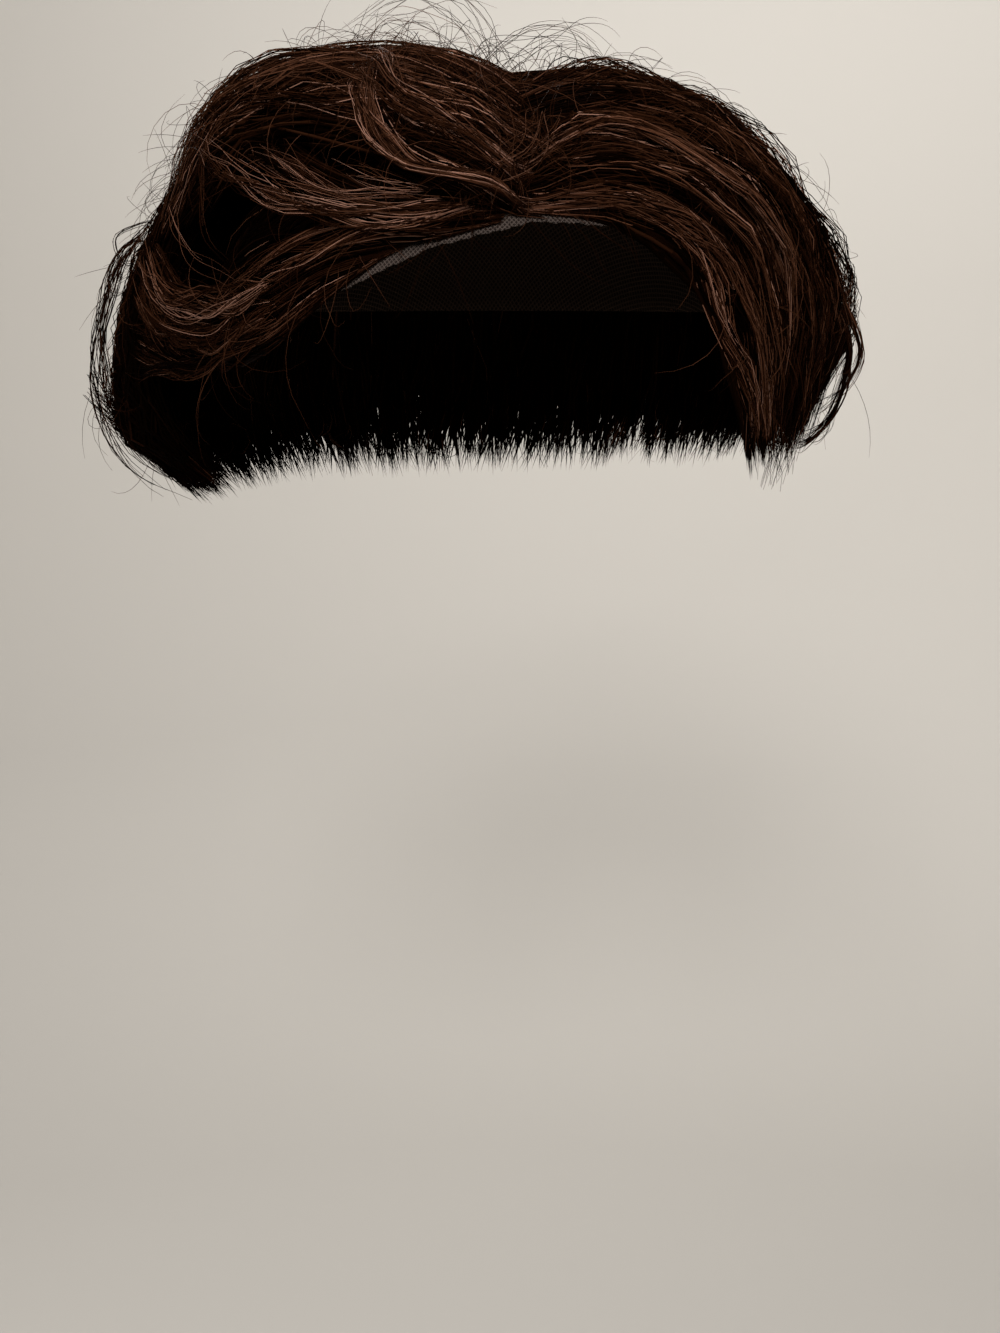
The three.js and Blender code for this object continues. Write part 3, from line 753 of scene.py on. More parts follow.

# %% [markdown]
# Loose locks of the right
#
# The right side has fewer of them: bright locks that run with the sweep, darker ones behind it with a
# groove between, a bulge with a curl at the outline, and short hairs that cross the parting. The dark tone
# of the groove lock and of the locks at the side is painted shade, and the light tone of the top right lock
# is painted light from above. They could be combed into the fans, but a lock that stands out is easier to
# place when it is drawn alone.

# %% Loose locks of the right
RIGHT_LOCKS = {
    "hair_right_sweep": {
        "sweep_edge": (0.55, 8, 50, [
            (14, 49, 9), (22, 49, 15), (32, 52, 17.5), (42, 58, 18.5), (52, 62.5, 18), (61, 67.5, 16.5),
            (68, 74, 14), (72, 82, 11), (75, 92, 8), (76, 101, 6),
        ]),
        "sweep_middle": (0.52, 9, 40, [
            (13, 54, 9), (24, 55, 13.5), (36, 59, 15.5), (46, 64, 14.5), (55, 70, 12.5), (63, 79, 9),
            (69, 90, 7), (73, 103, 5),
        ]),
        "sweep_hairline": (0.6, 9, 45, [
            (13, 59, 4.5), (24, 60.5, 9), (36, 63.5, 9.5), (45, 67.5, 9), (52, 73, 7.5), (59, 83, 6),
            (65, 95, 5), (70, 107, 4),
        ]),
        "right_tuft": (0.4, 8, 24, [(73, 88, 6), (75, 95, 6), (77, 101, 5), (78, 106, 4), (77, 111, 3)]),
        "right_wisp": (0.4, 7, 6, [(76, 100, 5), (79, 106, 6), (78, 112, 4), (75, 115, 3)]),
        "parting_down": (0.6, 14, 15, [(-4, 40, 10), (3, 47, 9), (9, 53, 9), (16, 57, 9)]),
        "parting_up": (0.6, 14, 15, [(12, 45, 10), (5, 50, 9), (-2, 55, 10), (-8, 59, 13)]),
        "parting_over": (0.6, 8, 15, [(2, 57, 3), (7, 55, 11), (12, 54, 14.5), (19, 52, 16), (28, 51, 17)]),
        "parting_arcs": (0.4, 22, 12, [(-6, 38, 8), (4, 34, 17), (18, 31, 20), (34, 32, 18), (48, 35, 14)]),
        "short_root_right": (0.6, 5, 8, [(4, 55, 10), (4, 58.5, 7), (2.5, 61.5, 2)]),
        "hanging_hair": (0.3, 1.5, 2, [(16, 60, 4), (18, 65, 6), (23, 69, 7), (27, 70, 6)]),
    },
    "hair_right_side": {
        # Painted shade: the groove lock is given a dark tone.
        "groove_lock": (0.2, 13, 60, [
            (7, 47, 3), (18, 46, 5), (30, 47, 6), (44, 51, 6), (57, 58, 6), (67, 68, 6), (73, 80, 6),
            (76, 95, 5),
        ]),
        # Painted light: the top right lock is lighter where light falls from above.
        "top_right": (0.5, 16, 55, [
            (8, 33, 4), (30, 30, 7.5), (52, 33, 11), (67, 42, 15), (76, 53, 19), (82, 64, 22),
        ]),
        # Painted shade: the locks at the side are given dark tones.
        "side_front": (0.3, 18, 70, [
            (24, 40, 7), (50, 42, 10), (68, 52, 13), (78, 66, 16), (85, 84, 17), (89, 102, 13), (90, 116, 9),
        ]),
        "side_edge": (0.28, 18, 70, [
            (24, 45, 6), (46, 51, 8), (62, 61, 9), (72, 75, 9), (77, 91, 8), (80, 106, 6), (81, 117, 5),
        ]),
        "right_bulge": (0.45, 5, 25, [
            (84, 63.5, 22), (88, 71.5, 25), (92, 80, 27), (96, 86, 33), (99, 90, 36), (100, 95, 33.5),
            (99, 99, 27), (96, 101, 20),
        ]),
        "right_curl": (0.25, 7, 30, [
            (93, 82, 27), (97, 89, 31), (98, 96, 30), (97, 102, 26), (95, 106, 20), (93, 107, 15),
            (91, 105, 11),
        ]),
        "right_loop": (0.35, 5, 8, [
            (93, 80, 27), (97, 87, 31), (99, 94, 30), (99, 100.5, 27.5), (98, 105, 26), (96, 106.5, 21),
            (94, 104, 17), (93, 101, 19),
        ]),
    },
}
LOOSE_LOCKS = {**LEFT_LOCKS, **RIGHT_LOCKS}
print("loose locks of the right", sum(len(locks) for locks in RIGHT_LOCKS.values()))

# %% [markdown]
# How a loose lock is gathered
#
# The strands of a lock lie round its curve in an oval, a little flat against the head. The bundle twists on
# its way, widens from its root, and its strands keep together in wisps that waver together. A hair curve
# with children would give much the same. Arrays keep the count of strands and their place in the map in
# hand.

# %% Strands of a loose lock
LOCK_STARTS = (-0.02, 0.1)
LOCK_ENDS = (0.62, 1)
LOCK_ALONG = [0, 0.25, 0.7, 1]
LOCK_WIDTHS = [0.5, 0.9, 1, 0.95]
LOCK_TWIST = 2.4
LOCK_FLATNESS = 0.45
STRANDS_PER_WISP = 5
SINGLE_HAIRS = 15
WISP_TURN = 0.35
WISP_REACHES = (0.05, 1)
WISP_REACH_SPREAD = 0.12
WAVER_LENGTHS = (24, 45)
WAVER_HEIGHT = 0.13
WAVER_OUT = 0.6
LOCK_WISP_TONES = 0.16
LOCK_STRAND_TONES = 0.12


def loose_lock(places, width, count, tone, rings, rng):
    """Strands that keep together round a curve through places."""
    turn, fall, lift = np.array(places, float).T
    controls = place(*ways_and_drops(turn, fall), lift)
    start = rng.uniform(*LOCK_STARTS, count)
    end = rng.uniform(*LOCK_ENDS, count)
    along = start[:, None] + (end - start)[:, None] * np.linspace(0, 1, rings)
    centre = smooth_curve(np.broadcast_to(controls, (count, rings, *controls.shape)), along)
    outward = outward_at(centre)
    sideways = unit(np.cross(unit(np.gradient(centre, axis=1)), outward))
    wisps = count if count <= SINGLE_HAIRS else count // STRANDS_PER_WISP
    wisp = rng.integers(0, wisps, count)
    angle = rng.uniform(0, 2 * math.pi, wisps)[wisp] + rng.normal(0, WISP_TURN, count)
    reach = np.sqrt(rng.uniform(*WISP_REACHES, wisps))[wisp] + rng.normal(0, WISP_REACH_SPREAD, count)
    size = 0.5 * width * reach[:, None] * np.interp(along, LOCK_ALONG, LOCK_WIDTHS)
    around = angle[:, None] + LOCK_TWIST * along
    waves = [random_waves(rng, wisps, WAVER_LENGTHS, WAVER_HEIGHT * width)[wisp] for _ in range(2)]
    side_waver, out_waver = [wave_shift(wave[:, None], distance_along(centre)) for wave in waves]
    side_shift = size * np.cos(around) + side_waver
    out_shift = LOCK_FLATNESS * size * np.sin(around) + WAVER_OUT * out_waver
    paths = centre + sideways * side_shift[..., None] + outward * out_shift[..., None]
    wisp_tones = tone + rng.normal(0, LOCK_WISP_TONES, wisps)[wisp]
    tones = np.clip(wisp_tones + rng.normal(0, LOCK_STRAND_TONES, count), 0, 1)
    return keep_off_head(paths, KNOT_LIFT), np.clip(along, 0, 1), tones


lock_strands = sum(count for locks in LOOSE_LOCKS.values() for _, _, count, _ in locks.values())
print("strands in loose locks", lock_strands)

# %% [markdown]
# From paths to strands
#
# A hair is a round thread, thinner at its tip. Each path becomes a closed tube with three sides, which is
# enough at this size once it is shaded smooth: light then runs in a line along the strand, as on real hair.
# The tube's own map gives the finish what it needs: how light this strand is, and how far along it a point
# lies.

# %% Strand tubes
SIDES = 3
TIP_LENGTH = 3
TIP_STEP = 0.005
MAP_LEFT = 0.005
MAP_WIDTH = 0.985
MAP_ENDS = (0.002, 0.998)
TONE_STRIP = 0.006
STRAND_WIDTHS = ([0, 0.1, 0.7, 1], [0.75, 1, 0.95, 0.35])
FILL_WIDTHS = ([0, 0.1, 0.84, 1], [0.75, 1, 1, 0.08])


def strand_faces(rings):
    """The faces of one strand, and for each of their corners the side and ring that it lies on."""
    tip = rings * SIDES
    faces = []
    corners = []
    for ring in range(rings - 1):
        for side in range(SIDES):
            here, beside = ring * SIDES + side, ring * SIDES + (side + 1) % SIDES
            faces.append([here, beside, beside + SIDES, here + SIDES])
            corners.append([(side, ring), (side + 1, ring), (side + 1, ring + 1), (side, ring + 1)])
    for side in range(SIDES):
        here, beside = tip - SIDES + side, tip - SIDES + (side + 1) % SIDES
        faces.append([here, beside, tip])
        corners.append([(side, rings - 1), (side + 1, rings - 1), (side, rings)])
    faces.append([2, 1, 0])
    corners.append([(2, 0), (1, 0), (0, 0)])
    return faces, corners


def strand_arrays(strands, radius, widths=STRAND_WIDTHS):
    """Vertices, face corners, face sizes and map places of tubes along the paths of strands."""
    paths, along, tone = strands
    count, rings, _ = paths.shape
    tangent = unit(np.gradient(paths, axis=1))
    normal = square_to(outward_at(paths), tangent)
    side_way = np.cross(tangent, normal)
    width = radius * np.interp(np.linspace(0, 1, rings), *widths)
    angles = 2 * math.pi * np.arange(SIDES) / SIDES
    spokes = normal[:, :, None] * np.cos(angles)[:, None] + side_way[:, :, None] * np.sin(angles)[:, None]
    ringed = paths[:, :, None] + spokes * width[:, None, None]
    tips = paths[:, -1] + tangent[:, -1] * TIP_LENGTH * radius
    vertices = np.concatenate([ringed.reshape(count, -1, 3), tips[:, None]], axis=1)

    faces, corners = strand_faces(rings)
    face_sizes = np.tile([len(face) for face in faces], count)
    loops = np.concatenate(faces)[None, :] + (np.arange(count) * (rings * SIDES + 1))[:, None]
    side, ring = np.concatenate(corners).T
    along_tip = np.concatenate([along, along[:, -1:] + TIP_STEP], axis=1)
    across_map = MAP_LEFT + MAP_WIDTH * tone[:, None] + TONE_STRIP * side[None, :] / SIDES
    along_map = np.clip(along_tip[:, ring], *MAP_ENDS)
    places = np.stack([across_map, along_map], axis=-1)
    return vertices.reshape(-1, 3), loops.reshape(-1), face_sizes, places.reshape(-1, 2)


print("faces of a strand with twelve rings", len(strand_faces(CHECK_RINGS)[0]))

# %% [markdown]
# One mesh for each section
#
# A section holds thousands of tubes. An operator for each hair would take hours, so all of them are written
# straight into one mesh from arrays: the vertices, the corners of the faces, and the map.

# %% Strand meshes
def hair_piece(name, parts):
    """One mesh object made of the strand arrays in parts."""
    first = np.cumsum([0] + [len(part[0]) for part in parts])
    vertices = np.concatenate([part[0] for part in parts]) * MM
    loops = np.concatenate([part[1] + first[number] for number, part in enumerate(parts)])
    face_sizes = np.concatenate([part[2] for part in parts])
    places = np.concatenate([part[3] for part in parts])
    mesh = bpy.data.meshes.new(name)
    mesh.vertices.add(len(vertices))
    mesh.vertices.foreach_set("co", vertices.astype(np.float32).ravel())
    mesh.loops.add(len(loops))
    mesh.loops.foreach_set("vertex_index", loops.astype(np.int32))
    mesh.polygons.add(len(face_sizes))
    starts = np.concatenate([[0], np.cumsum(face_sizes)[:-1]])
    mesh.polygons.foreach_set("loop_start", starts.astype(np.int32))
    mesh.polygons.foreach_set("loop_total", face_sizes.astype(np.int32))
    mesh.polygons.foreach_set("use_smooth", np.ones(len(face_sizes), bool))
    strand_map = mesh.uv_layers.new(name="OFBake")
    mesh.update(calc_edges=True)
    strand_map.data.foreach_set("uv", places.astype(np.float32).ravel())
    piece = bpy.data.objects.new(name, mesh)
    bpy.context.scene.collection.objects.link(piece)
    return piece, int((face_sizes - 2).sum())


print("hair meshes to make", len(set(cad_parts) & {"hair_back", *LOOSE_LOCKS}))

# %% [markdown]
# The finish of the hair
#
# The hair is very dark brown. Seen close it holds several browns: most strands are nearly black in the
# shade, some are chestnut, and the ends are a little lighter than the roots. A single colour would look
# like plastic, so the tone of each strand and the place along it both choose the colour, and fine streaks
# break it up. Real hair shines softly. On strands this thick the shine at a grazing angle turned them grey,
# so the shader has very little of it. The light streaks are painted highlight instead: the lightest tones
# are pale pinkish browns, given to the lighter strands.

# %% Hair finish
# The top of this ramp is painted highlight in pale pinkish brown.
HAIR_TONES_AND_HIGHLIGHT = [
    (0.0, (0.0008, 0.0003, 0.0001)),
    (0.3, (0.003, 0.001, 0.0004)),
    (0.55, (0.0135, 0.0047, 0.002)),
    (0.8, (0.055, 0.0225, 0.012)),
    (1.0, (0.16, 0.085, 0.06)),
]
ROOT_SHADE = (0.85, 0.8, 0.78, 1)
LENGTH_SHADE = (1.1, 1.08, 1.06, 1)
ROOT_END = 0.3
STREAK_STRETCH = (160, 5, 1)
STREAK_DETAIL = 2.0
STREAK_TONES = (0.3, 0.7, 0.65, 1.3)
STREAK_GLOSS = (0.25, 0.75, 0.2, 0.38)
HAIR_SHINE = {"IOR": 1.015, "Specular Tint": (1.0, 0.76, 0.66, 1)}


def new_material(name):
    """A material with its shader, and what adds nodes and links to it."""
    material = bpy.data.materials.new(name)
    material.use_nodes = True
    tree = material.node_tree
    return material, tree.nodes["Principled BSDF"], tree.nodes, tree.links


def set_inputs(node, values):
    """Sets sockets of a node to plain values."""
    for socket, value in values.items():
        node.inputs[socket].default_value = value


def ramp(nodes, stops):
    node = nodes.new("ShaderNodeValToRGB")
    while len(node.color_ramp.elements) < len(stops):
        node.color_ramp.elements.new(0.5)
    for element, (position, colour) in zip(node.color_ramp.elements, stops):
        element.position = position
        element.color = (*colour[:3], 1)
    return node


def map_range(nodes, from_low, from_high, to_low, to_high):
    node = nodes.new("ShaderNodeMapRange")
    set_inputs(node, {"From Min": from_low, "From Max": from_high, "To Min": to_low, "To Max": to_high})
    return node


def hair_streaks(nodes, links, strand_map):
    """Noise that is drawn out along the strands."""
    stretch = nodes.new("ShaderNodeMapping")
    set_inputs(stretch, {"Scale": STREAK_STRETCH})
    links.new(strand_map.outputs["UV"], stretch.inputs["Vector"])
    streaks = nodes.new("ShaderNodeTexNoise")
    set_inputs(streaks, {"Scale": 1.0, "Detail": STREAK_DETAIL})
    links.new(stretch.outputs["Vector"], streaks.inputs["Vector"])
    return streaks


def hair_finish():
    material, shader, nodes, links = new_material("hair")
    strand_map = nodes.new("ShaderNodeUVMap")
    strand_map.uv_map = "OFBake"
    split = nodes.new("ShaderNodeSeparateXYZ")
    links.new(strand_map.outputs["UV"], split.inputs["Vector"])
    tones = ramp(nodes, HAIR_TONES_AND_HIGHLIGHT)
    links.new(split.outputs["X"], tones.inputs["Fac"])
    along = ramp(nodes, [(0, ROOT_SHADE), (ROOT_END, LENGTH_SHADE)])
    links.new(split.outputs["Y"], along.inputs["Fac"])
    shaded = nodes.new("ShaderNodeMix")
    shaded.data_type = "RGBA"
    shaded.blend_type = "MULTIPLY"
    set_inputs(shaded, {"Factor": 1.0})
    links.new(tones.outputs["Color"], shaded.inputs["A"])
    links.new(along.outputs["Color"], shaded.inputs["B"])

    streaks = hair_streaks(nodes, links, strand_map)
    streak_tone = map_range(nodes, *STREAK_TONES)
    links.new(streaks.outputs["Fac"], streak_tone.inputs["Value"])
    streaked = nodes.new("ShaderNodeVectorMath")
    streaked.operation = "SCALE"
    links.new(shaded.outputs["Result"], streaked.inputs["Vector"])
    links.new(streak_tone.outputs["Result"], streaked.inputs["Scale"])
    links.new(streaked.outputs["Vector"], shader.inputs["Base Color"])
    gloss = map_range(nodes, *STREAK_GLOSS)
    links.new(streaks.outputs["Fac"], gloss.inputs["Value"])
    links.new(gloss.outputs["Result"], shader.inputs["Roughness"])
    set_inputs(shader, HAIR_SHINE)
    return material


HAIR = hair_finish()
print("hair finish with", len(HAIR.node_tree.nodes), "nodes")

# %% [markdown]
# Growing the sections
#
# The topper has six sections of hair, one for each solid. Fine strands make the surface, coarse ones fill
# the form below it so that no light comes through, and then come flyaways, curled ends and loose locks.
# They could be separate pieces, but the hair of a section is knotted in as one, so each section is one
# mesh.

# %% Grow each section
HAIR_SECTIONS = {
    "hair_right_sweep": ["right_sweep"],
    "hair_left_crest": ["left_crest", "crest_curl"],
    "hair_left_temple": ["brow_sweep", "temple_wave", "under_layer"],
    "hair_right_side": ["right_side"],
    "hair_left_side": ["left_side"],
    "hair_back": ["back"],
}
FINE = {"rings": 14, "radius": 0.15}
LOCK = {"rings": 16, "radius": 0.15}
COARSE = {"rings": 7, "radius": 0.6}
THIN = {"rings": 9, "radius": 0.075}
CURL = {"rings": 14, "radius": 0.12}
STRAND_SEED = 100


def fan_parts(fan):
    """The strand arrays of all that grows in a fan."""
    growth = FAN_GROWTH[fan]
    wisps = fan_wisps(fan)
    rng = np.random.default_rng(FAN_SEEDS[fan] + STRAND_SEED)
    fine = comb(fan, wisps, growth["fine"], FINE["rings"], rng)
    coarse = comb(fan, wisps, growth["coarse"], COARSE["rings"], rng, fill=True)
    parts = [strand_arrays(fine, FINE["radius"]), strand_arrays(coarse, COARSE["radius"], FILL_WIDTHS)]
    if growth["flyaways"]:
        thin = flyaways(fan, growth["flyaways"], THIN["rings"], rng)
        parts.append(strand_arrays(thin, THIN["radius"]))
    if growth["curls"]:
        curls = curled_ends(fan, wisps, growth["curls"], CURL["rings"], rng)
        parts.append(strand_arrays(curls, CURL["radius"]))
    return parts


hair_triangles = 0
for section, fans in HAIR_SECTIONS.items():
    parts = [part for fan in fans for part in fan_parts(fan)]
    rng = np.random.default_rng(SEED + len(section))
    for tone, width, count, places in LOOSE_LOCKS.get(section, {}).values():
        radius = LOCK["radius"] if count > SINGLE_HAIRS else THIN["radius"]
        lock = loose_lock(places, width, count, tone, LOCK["rings"], rng)
        parts.append(strand_arrays(lock, radius))
    piece, triangles = hair_piece(section + "_strands", parts)
    piece.data.materials.append(HAIR)
    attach(piece, "root")
    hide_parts(section)
    hair_triangles += triangles
    print(piece.name, "triangles", triangles)
print("hair triangles in all", hair_triangles)

# %% [markdown]
# The rim of the net
#
# The net ends in an uneven rim: high at the forehead, low over the temples. Along the forehead the lace
# takes its place, which is given as a fall above the rim. Both are read from a few turns round the head, so
# net and lace meet on one line. The helpers read and set the points of a mesh, lay a map on it, and give a
# sheet its thickness with a Solidify modifier.

# %% Rim and sheets
EDGE_TURNS = [-180, -92, -62, -36, -14, 8, 30, 48, 66, 92, 180]
EDGE_FALLS = [80, 80, 81, 76, 67, 62, 63, 71, 79, 80, 80]
LACE_FALLS = [0, 0, 0, 7, 7, 7, 6, 4, 0, 0, 0]


def edge_fall(turn):
    return np.interp(turn, EDGE_TURNS, EDGE_FALLS)


def lace_fall(turn):
    return np.interp(turn, EDGE_TURNS, LACE_FALLS)


def vertex_array(mesh):
    flat = np.empty(len(mesh.vertices) * 3, np.float32)
    mesh.vertices.foreach_get("co", flat)
    return flat.reshape(-1, 3).astype(float)


def set_vertices(mesh, points):
    mesh.vertices.foreach_set("co", points.astype(np.float32).ravel())
    mesh.update()


def set_map(mesh, name, places):
    """A map on a mesh that gives each vertex its own place."""
    corners = np.empty(len(mesh.loops), np.int32)
    mesh.loops.foreach_get("vertex_index", corners)
    layer = mesh.uv_layers.new(name=name)
    layer.data.foreach_set("uv", places[corners].astype(np.float32).ravel())


def thicken(piece, thickness):
    solidify = piece.modifiers.new("wall", "SOLIDIFY")
    solidify.thickness = thickness * MM
    solidify.offset = 1
    solidify.use_even_offset = True
    bpy.context.view_layer.objects.active = piece
    bpy.ops.object.modifier_apply(modifier=solidify.name)
    piece.data.polygons.foreach_set("use_smooth", np.ones(len(piece.data.polygons), bool))


print("rim at the forehead", edge_fall(0), "and at the back", edge_fall(180), "degrees below the crown")

# %% [markdown]
# The net base
#
# The base is a fine net that was stretched and set over a block, so it is a smooth dome. A sphere gives the
# dome its even rings. Its lower half is cut away, each ring is let down until the last one lies on the rim,
# and the wall is thickened. A flat grid could be draped too, but its corners would crowd at the rim. A map
# in millimetres, laid out flat from the crown, carries the weave.

# %% Net base
BASE_SEGMENTS = 128
BASE_RINGS = 56
CUT_NEARNESS = 1e-5
bpy.ops.object.select_all(action="DESELECT")
bpy.ops.mesh.primitive_uv_sphere_add(
    segments=BASE_SEGMENTS, ring_count=BASE_RINGS, radius=1, calc_uvs=False
)
base = bpy.context.object
base.name = "net_base"
bpy.ops.object.mode_set(mode="EDIT")
bpy.ops.mesh.select_all(action="SELECT")
bpy.ops.mesh.bisect(plane_co=(0, 0, 0), plane_no=(0, 0, -1), clear_outer=True, threshold=CUT_NEARNESS)
bpy.ops.object.mode_set(mode="OBJECT")
ball = unit(vertex_array(base.data))
ball_turn = np.degrees(np.arctan2(ball[:, 0], -ball[:, 1]))
ball_fall = np.degrees(np.arccos(np.clip(ball[:, 2], -1, 1)))
base_fall = ball_fall / 90 * (edge_fall(ball_turn) - lace_fall(ball_turn))
set_vertices(base.data, place(*ways_and_drops(ball_turn, base_fall), np.zeros(len(ball))) * MM)
arc = np.radians(base_fall) * CROWN_HEIGHT
round_crown = np.radians(ball_turn)
set_map(base.data, "net", np.stack([arc * np.sin(round_crown), arc * np.cos(round_crown)], axis=-1))
thicken(base, BASE_WALL)
print("net base faces", len(base.data.polygons))

# %% [markdown]
# The lace edge
#
# Along the forehead the net gives way to a strip of sheer lace, cut close to the hair, which shows as a
# soft grey-brown edge at the left of the parting. A flat grid is bent round the forehead: its width follows
# the turn, and its height the fall between the net and the cut edge. That edge was snipped by hand and
# wavers a little, which three sine waves give. The dome could be cut for it, but a grid keeps the strip's
# rows even.

# %% Lace edge
LACE_FROM = -54.0
LACE_TO = 54.0
LACE_COLUMNS = 220
LACE_ROWS = 10
LACE_LIFT = 0.2
LACE_WALL = 0.35
SNIP_WAVER = 0.12
SNIP_WAVES = ((1.7, 0, 1), (0.61, 1, 0.7), (4.3, 0, 0.5))
bpy.ops.object.select_all(action="DESELECT")
bpy.ops.mesh.primitive_grid_add(
    x_subdivisions=LACE_COLUMNS, y_subdivisions=LACE_ROWS, size=1, calc_uvs=False
)
lace = bpy.context.object
lace.name = "lace_edge"
strip = vertex_array(lace.data)[:, :2] + 0.5
lace_turn = LACE_FROM + (LACE_TO - LACE_FROM) * strip[:, 0]
snips = [height * np.sin(rate * lace_turn + phase) for rate, phase, height in SNIP_WAVES]
lace_low = edge_fall(lace_turn) + SNIP_WAVER * sum(snips)
lace_high = edge_fall(lace_turn) - lace_fall(lace_turn)
lace_down = lace_low + (lace_high - lace_low) * strip[:, 1]
lace_points = place(*ways_and_drops(lace_turn, lace_down), np.full(len(strip), LACE_LIFT))
set_vertices(lace.data, lace_points * MM)
lace_arc = np.radians(lace_down) * CROWN_HEIGHT
set_map(lace.data, "net", np.stack([np.radians(lace_turn) * HEAD_HALF_WIDTH, lace_arc], axis=-1))
bpy.ops.object.mode_set(mode="EDIT")
bpy.ops.mesh.select_all(action="SELECT")
bpy.ops.mesh.normals_make_consistent(inside=False)
bpy.ops.object.mode_set(mode="OBJECT")
head_middle = Vector((0, 0, -CROWN_HEIGHT * MM))
if sum(face.normal.dot(face.center - head_middle) for face in lace.data.polygons) < 0:
    lace.data.flip_normals()
thicken(lace, LACE_WALL)
print("lace faces", len(lace.data.polygons))

# %% [markdown]
# The weave of net and lace
#
# Net and lace are the same weave at two sizes: threads that cross on the slant with open cells between
# them. Modelled threads would need millions of faces, so one node group works out from the map in
# millimetres where the threads run.

# %% Net weave
WEAVE_SLANT = 45
HALF_CELL = 0.5
THREAD_EDGES = (0.24, 0.08)


def net_weave_group():
    group = bpy.data.node_groups.new("net_weave", "ShaderNodeTree")
    group.interface.new_socket("Place", in_out="INPUT", socket_type="NodeSocketVector")
    group.interface.new_socket("Cells per mm", in_out="INPUT", socket_type="NodeSocketFloat")
    group.interface.new_socket("Thread", in_out="OUTPUT", socket_type="NodeSocketFloat")
    nodes = group.nodes
    links = group.links
    entry = nodes.new("NodeGroupInput")
    leave = nodes.new("NodeGroupOutput")
    turned = nodes.new("ShaderNodeVectorRotate")
    turned.rotation_type = "Z_AXIS"
    set_inputs(turned, {"Angle": math.radians(WEAVE_SLANT)})
    links.new(entry.outputs["Place"], turned.inputs["Vector"])
    scaled = nodes.new("ShaderNodeVectorMath")
    scaled.operation = "SCALE"
    links.new(turned.outputs["Vector"], scaled.inputs["Vector"])
    links.new(entry.outputs["Cells per mm"], scaled.inputs["Scale"])
    split = nodes.new("ShaderNodeSeparateXYZ")
    links.new(scaled.outputs["Vector"], split.inputs["Vector"])
    either = nodes.new("ShaderNodeMath")
    either.operation = "MAXIMUM"
    for number, axis in enumerate(("X", "Y")):
        fold = nodes.new("ShaderNodeMath")
        fold.operation = "PINGPONG"
        fold.inputs[1].default_value = HALF_CELL
        links.new(split.outputs[axis], fold.inputs[0])
        run = map_range(nodes, *THREAD_EDGES, 0, 1)
        links.new(fold.outputs["Value"], run.inputs["Value"])
        links.new(run.outputs["Result"], either.inputs[number])
    links.new(either.outputs["Value"], leave.inputs["Thread"])
    return group


NET_WEAVE = net_weave_group()
print("weave group with", len(NET_WEAVE.nodes), "nodes")

# %% [markdown]
# The finishes of net and lace
#
# Both are dull thread, dark in the cells and lighter where a thread runs. The base has a fine relief on top
# of its two browns. The lace lets light through its cells, so that whatever lies behind it tints it.
# That could be cut as holes, but an alpha from the weave does it without a face more.

# %% Net and lace finishes
BASE_CELLS = 0.7
BASE_BROWNS = [(0, (0.003, 0.002, 0.0015)), (1, (0.016, 0.0105, 0.0075))]
BASE_DULL = {"Roughness": 0.8, "Specular IOR Level": 0.0}
BASE_RELIEF = {"Strength": 0.6, "Distance": 0.0004}
LACE_CELLS = 1.1
LACE_BROWNS = [(0, (0.016, 0.0115, 0.0095)), (1, (0.038, 0.0285, 0.0235))]
LACE_DULL = {"Roughness": 0.85, "Specular IOR Level": 0.08}
LACE_SHEER = (0.3, 0.95)


def woven_finish(name, cells_per_mm, browns, dull):
    """A dull material in two browns, with its shader and its weave."""
    material, shader, nodes, links = new_material(name)
    weave = nodes.new("ShaderNodeGroup")
    weave.node_tree = NET_WEAVE
    set_inputs(weave, {"Cells per mm": cells_per_mm})
    net_map = nodes.new("ShaderNodeUVMap")
    net_map.uv_map = "net"
    links.new(net_map.outputs["UV"], weave.inputs["Place"])
    brown = ramp(nodes, browns)
    links.new(weave.outputs["Thread"], brown.inputs["Fac"])
    links.new(brown.outputs["Color"], shader.inputs["Base Color"])
    set_inputs(shader, dull)
    return material, shader, weave


def base_finish():
    material, shader, weave = woven_finish("base_net", BASE_CELLS, BASE_BROWNS, BASE_DULL)
    links = material.node_tree.links
    relief = material.node_tree.nodes.new("ShaderNodeBump")
    set_inputs(relief, BASE_RELIEF)
    links.new(weave.outputs["Thread"], relief.inputs["Height"])
    links.new(relief.outputs["Normal"], shader.inputs["Normal"])
    return material


def lace_finish():
    material, shader, weave = woven_finish("lace", LACE_CELLS, LACE_BROWNS, LACE_DULL)
    links = material.node_tree.links
    sheer = map_range(material.node_tree.nodes, 0, 1, *LACE_SHEER)
    links.new(weave.outputs["Thread"], sheer.inputs["Value"])
    links.new(sheer.outputs["Result"], shader.inputs["Alpha"])
    return material


base.data.materials.append(base_finish())
lace.data.materials.append(lace_finish())
for piece, node, slot in ((base, "base_cap", "base_net"), (lace, "front_lace", "lace")):
    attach(piece, "root")
    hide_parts(node)
    print(piece.name, "stands for", node)

# %% [markdown]
# The studio
#
# A round pale drum stands for the studio: its wall curves into the floor, so the ground is plain on every
# side and no edge shows behind the hair. A plane with a backdrop would do for one view only. The drum
# starts as a ring at the top of the wall, which is extruded down the wall and inwards round the curve. The
# last ring is filled in as the floor. The drum is open above.

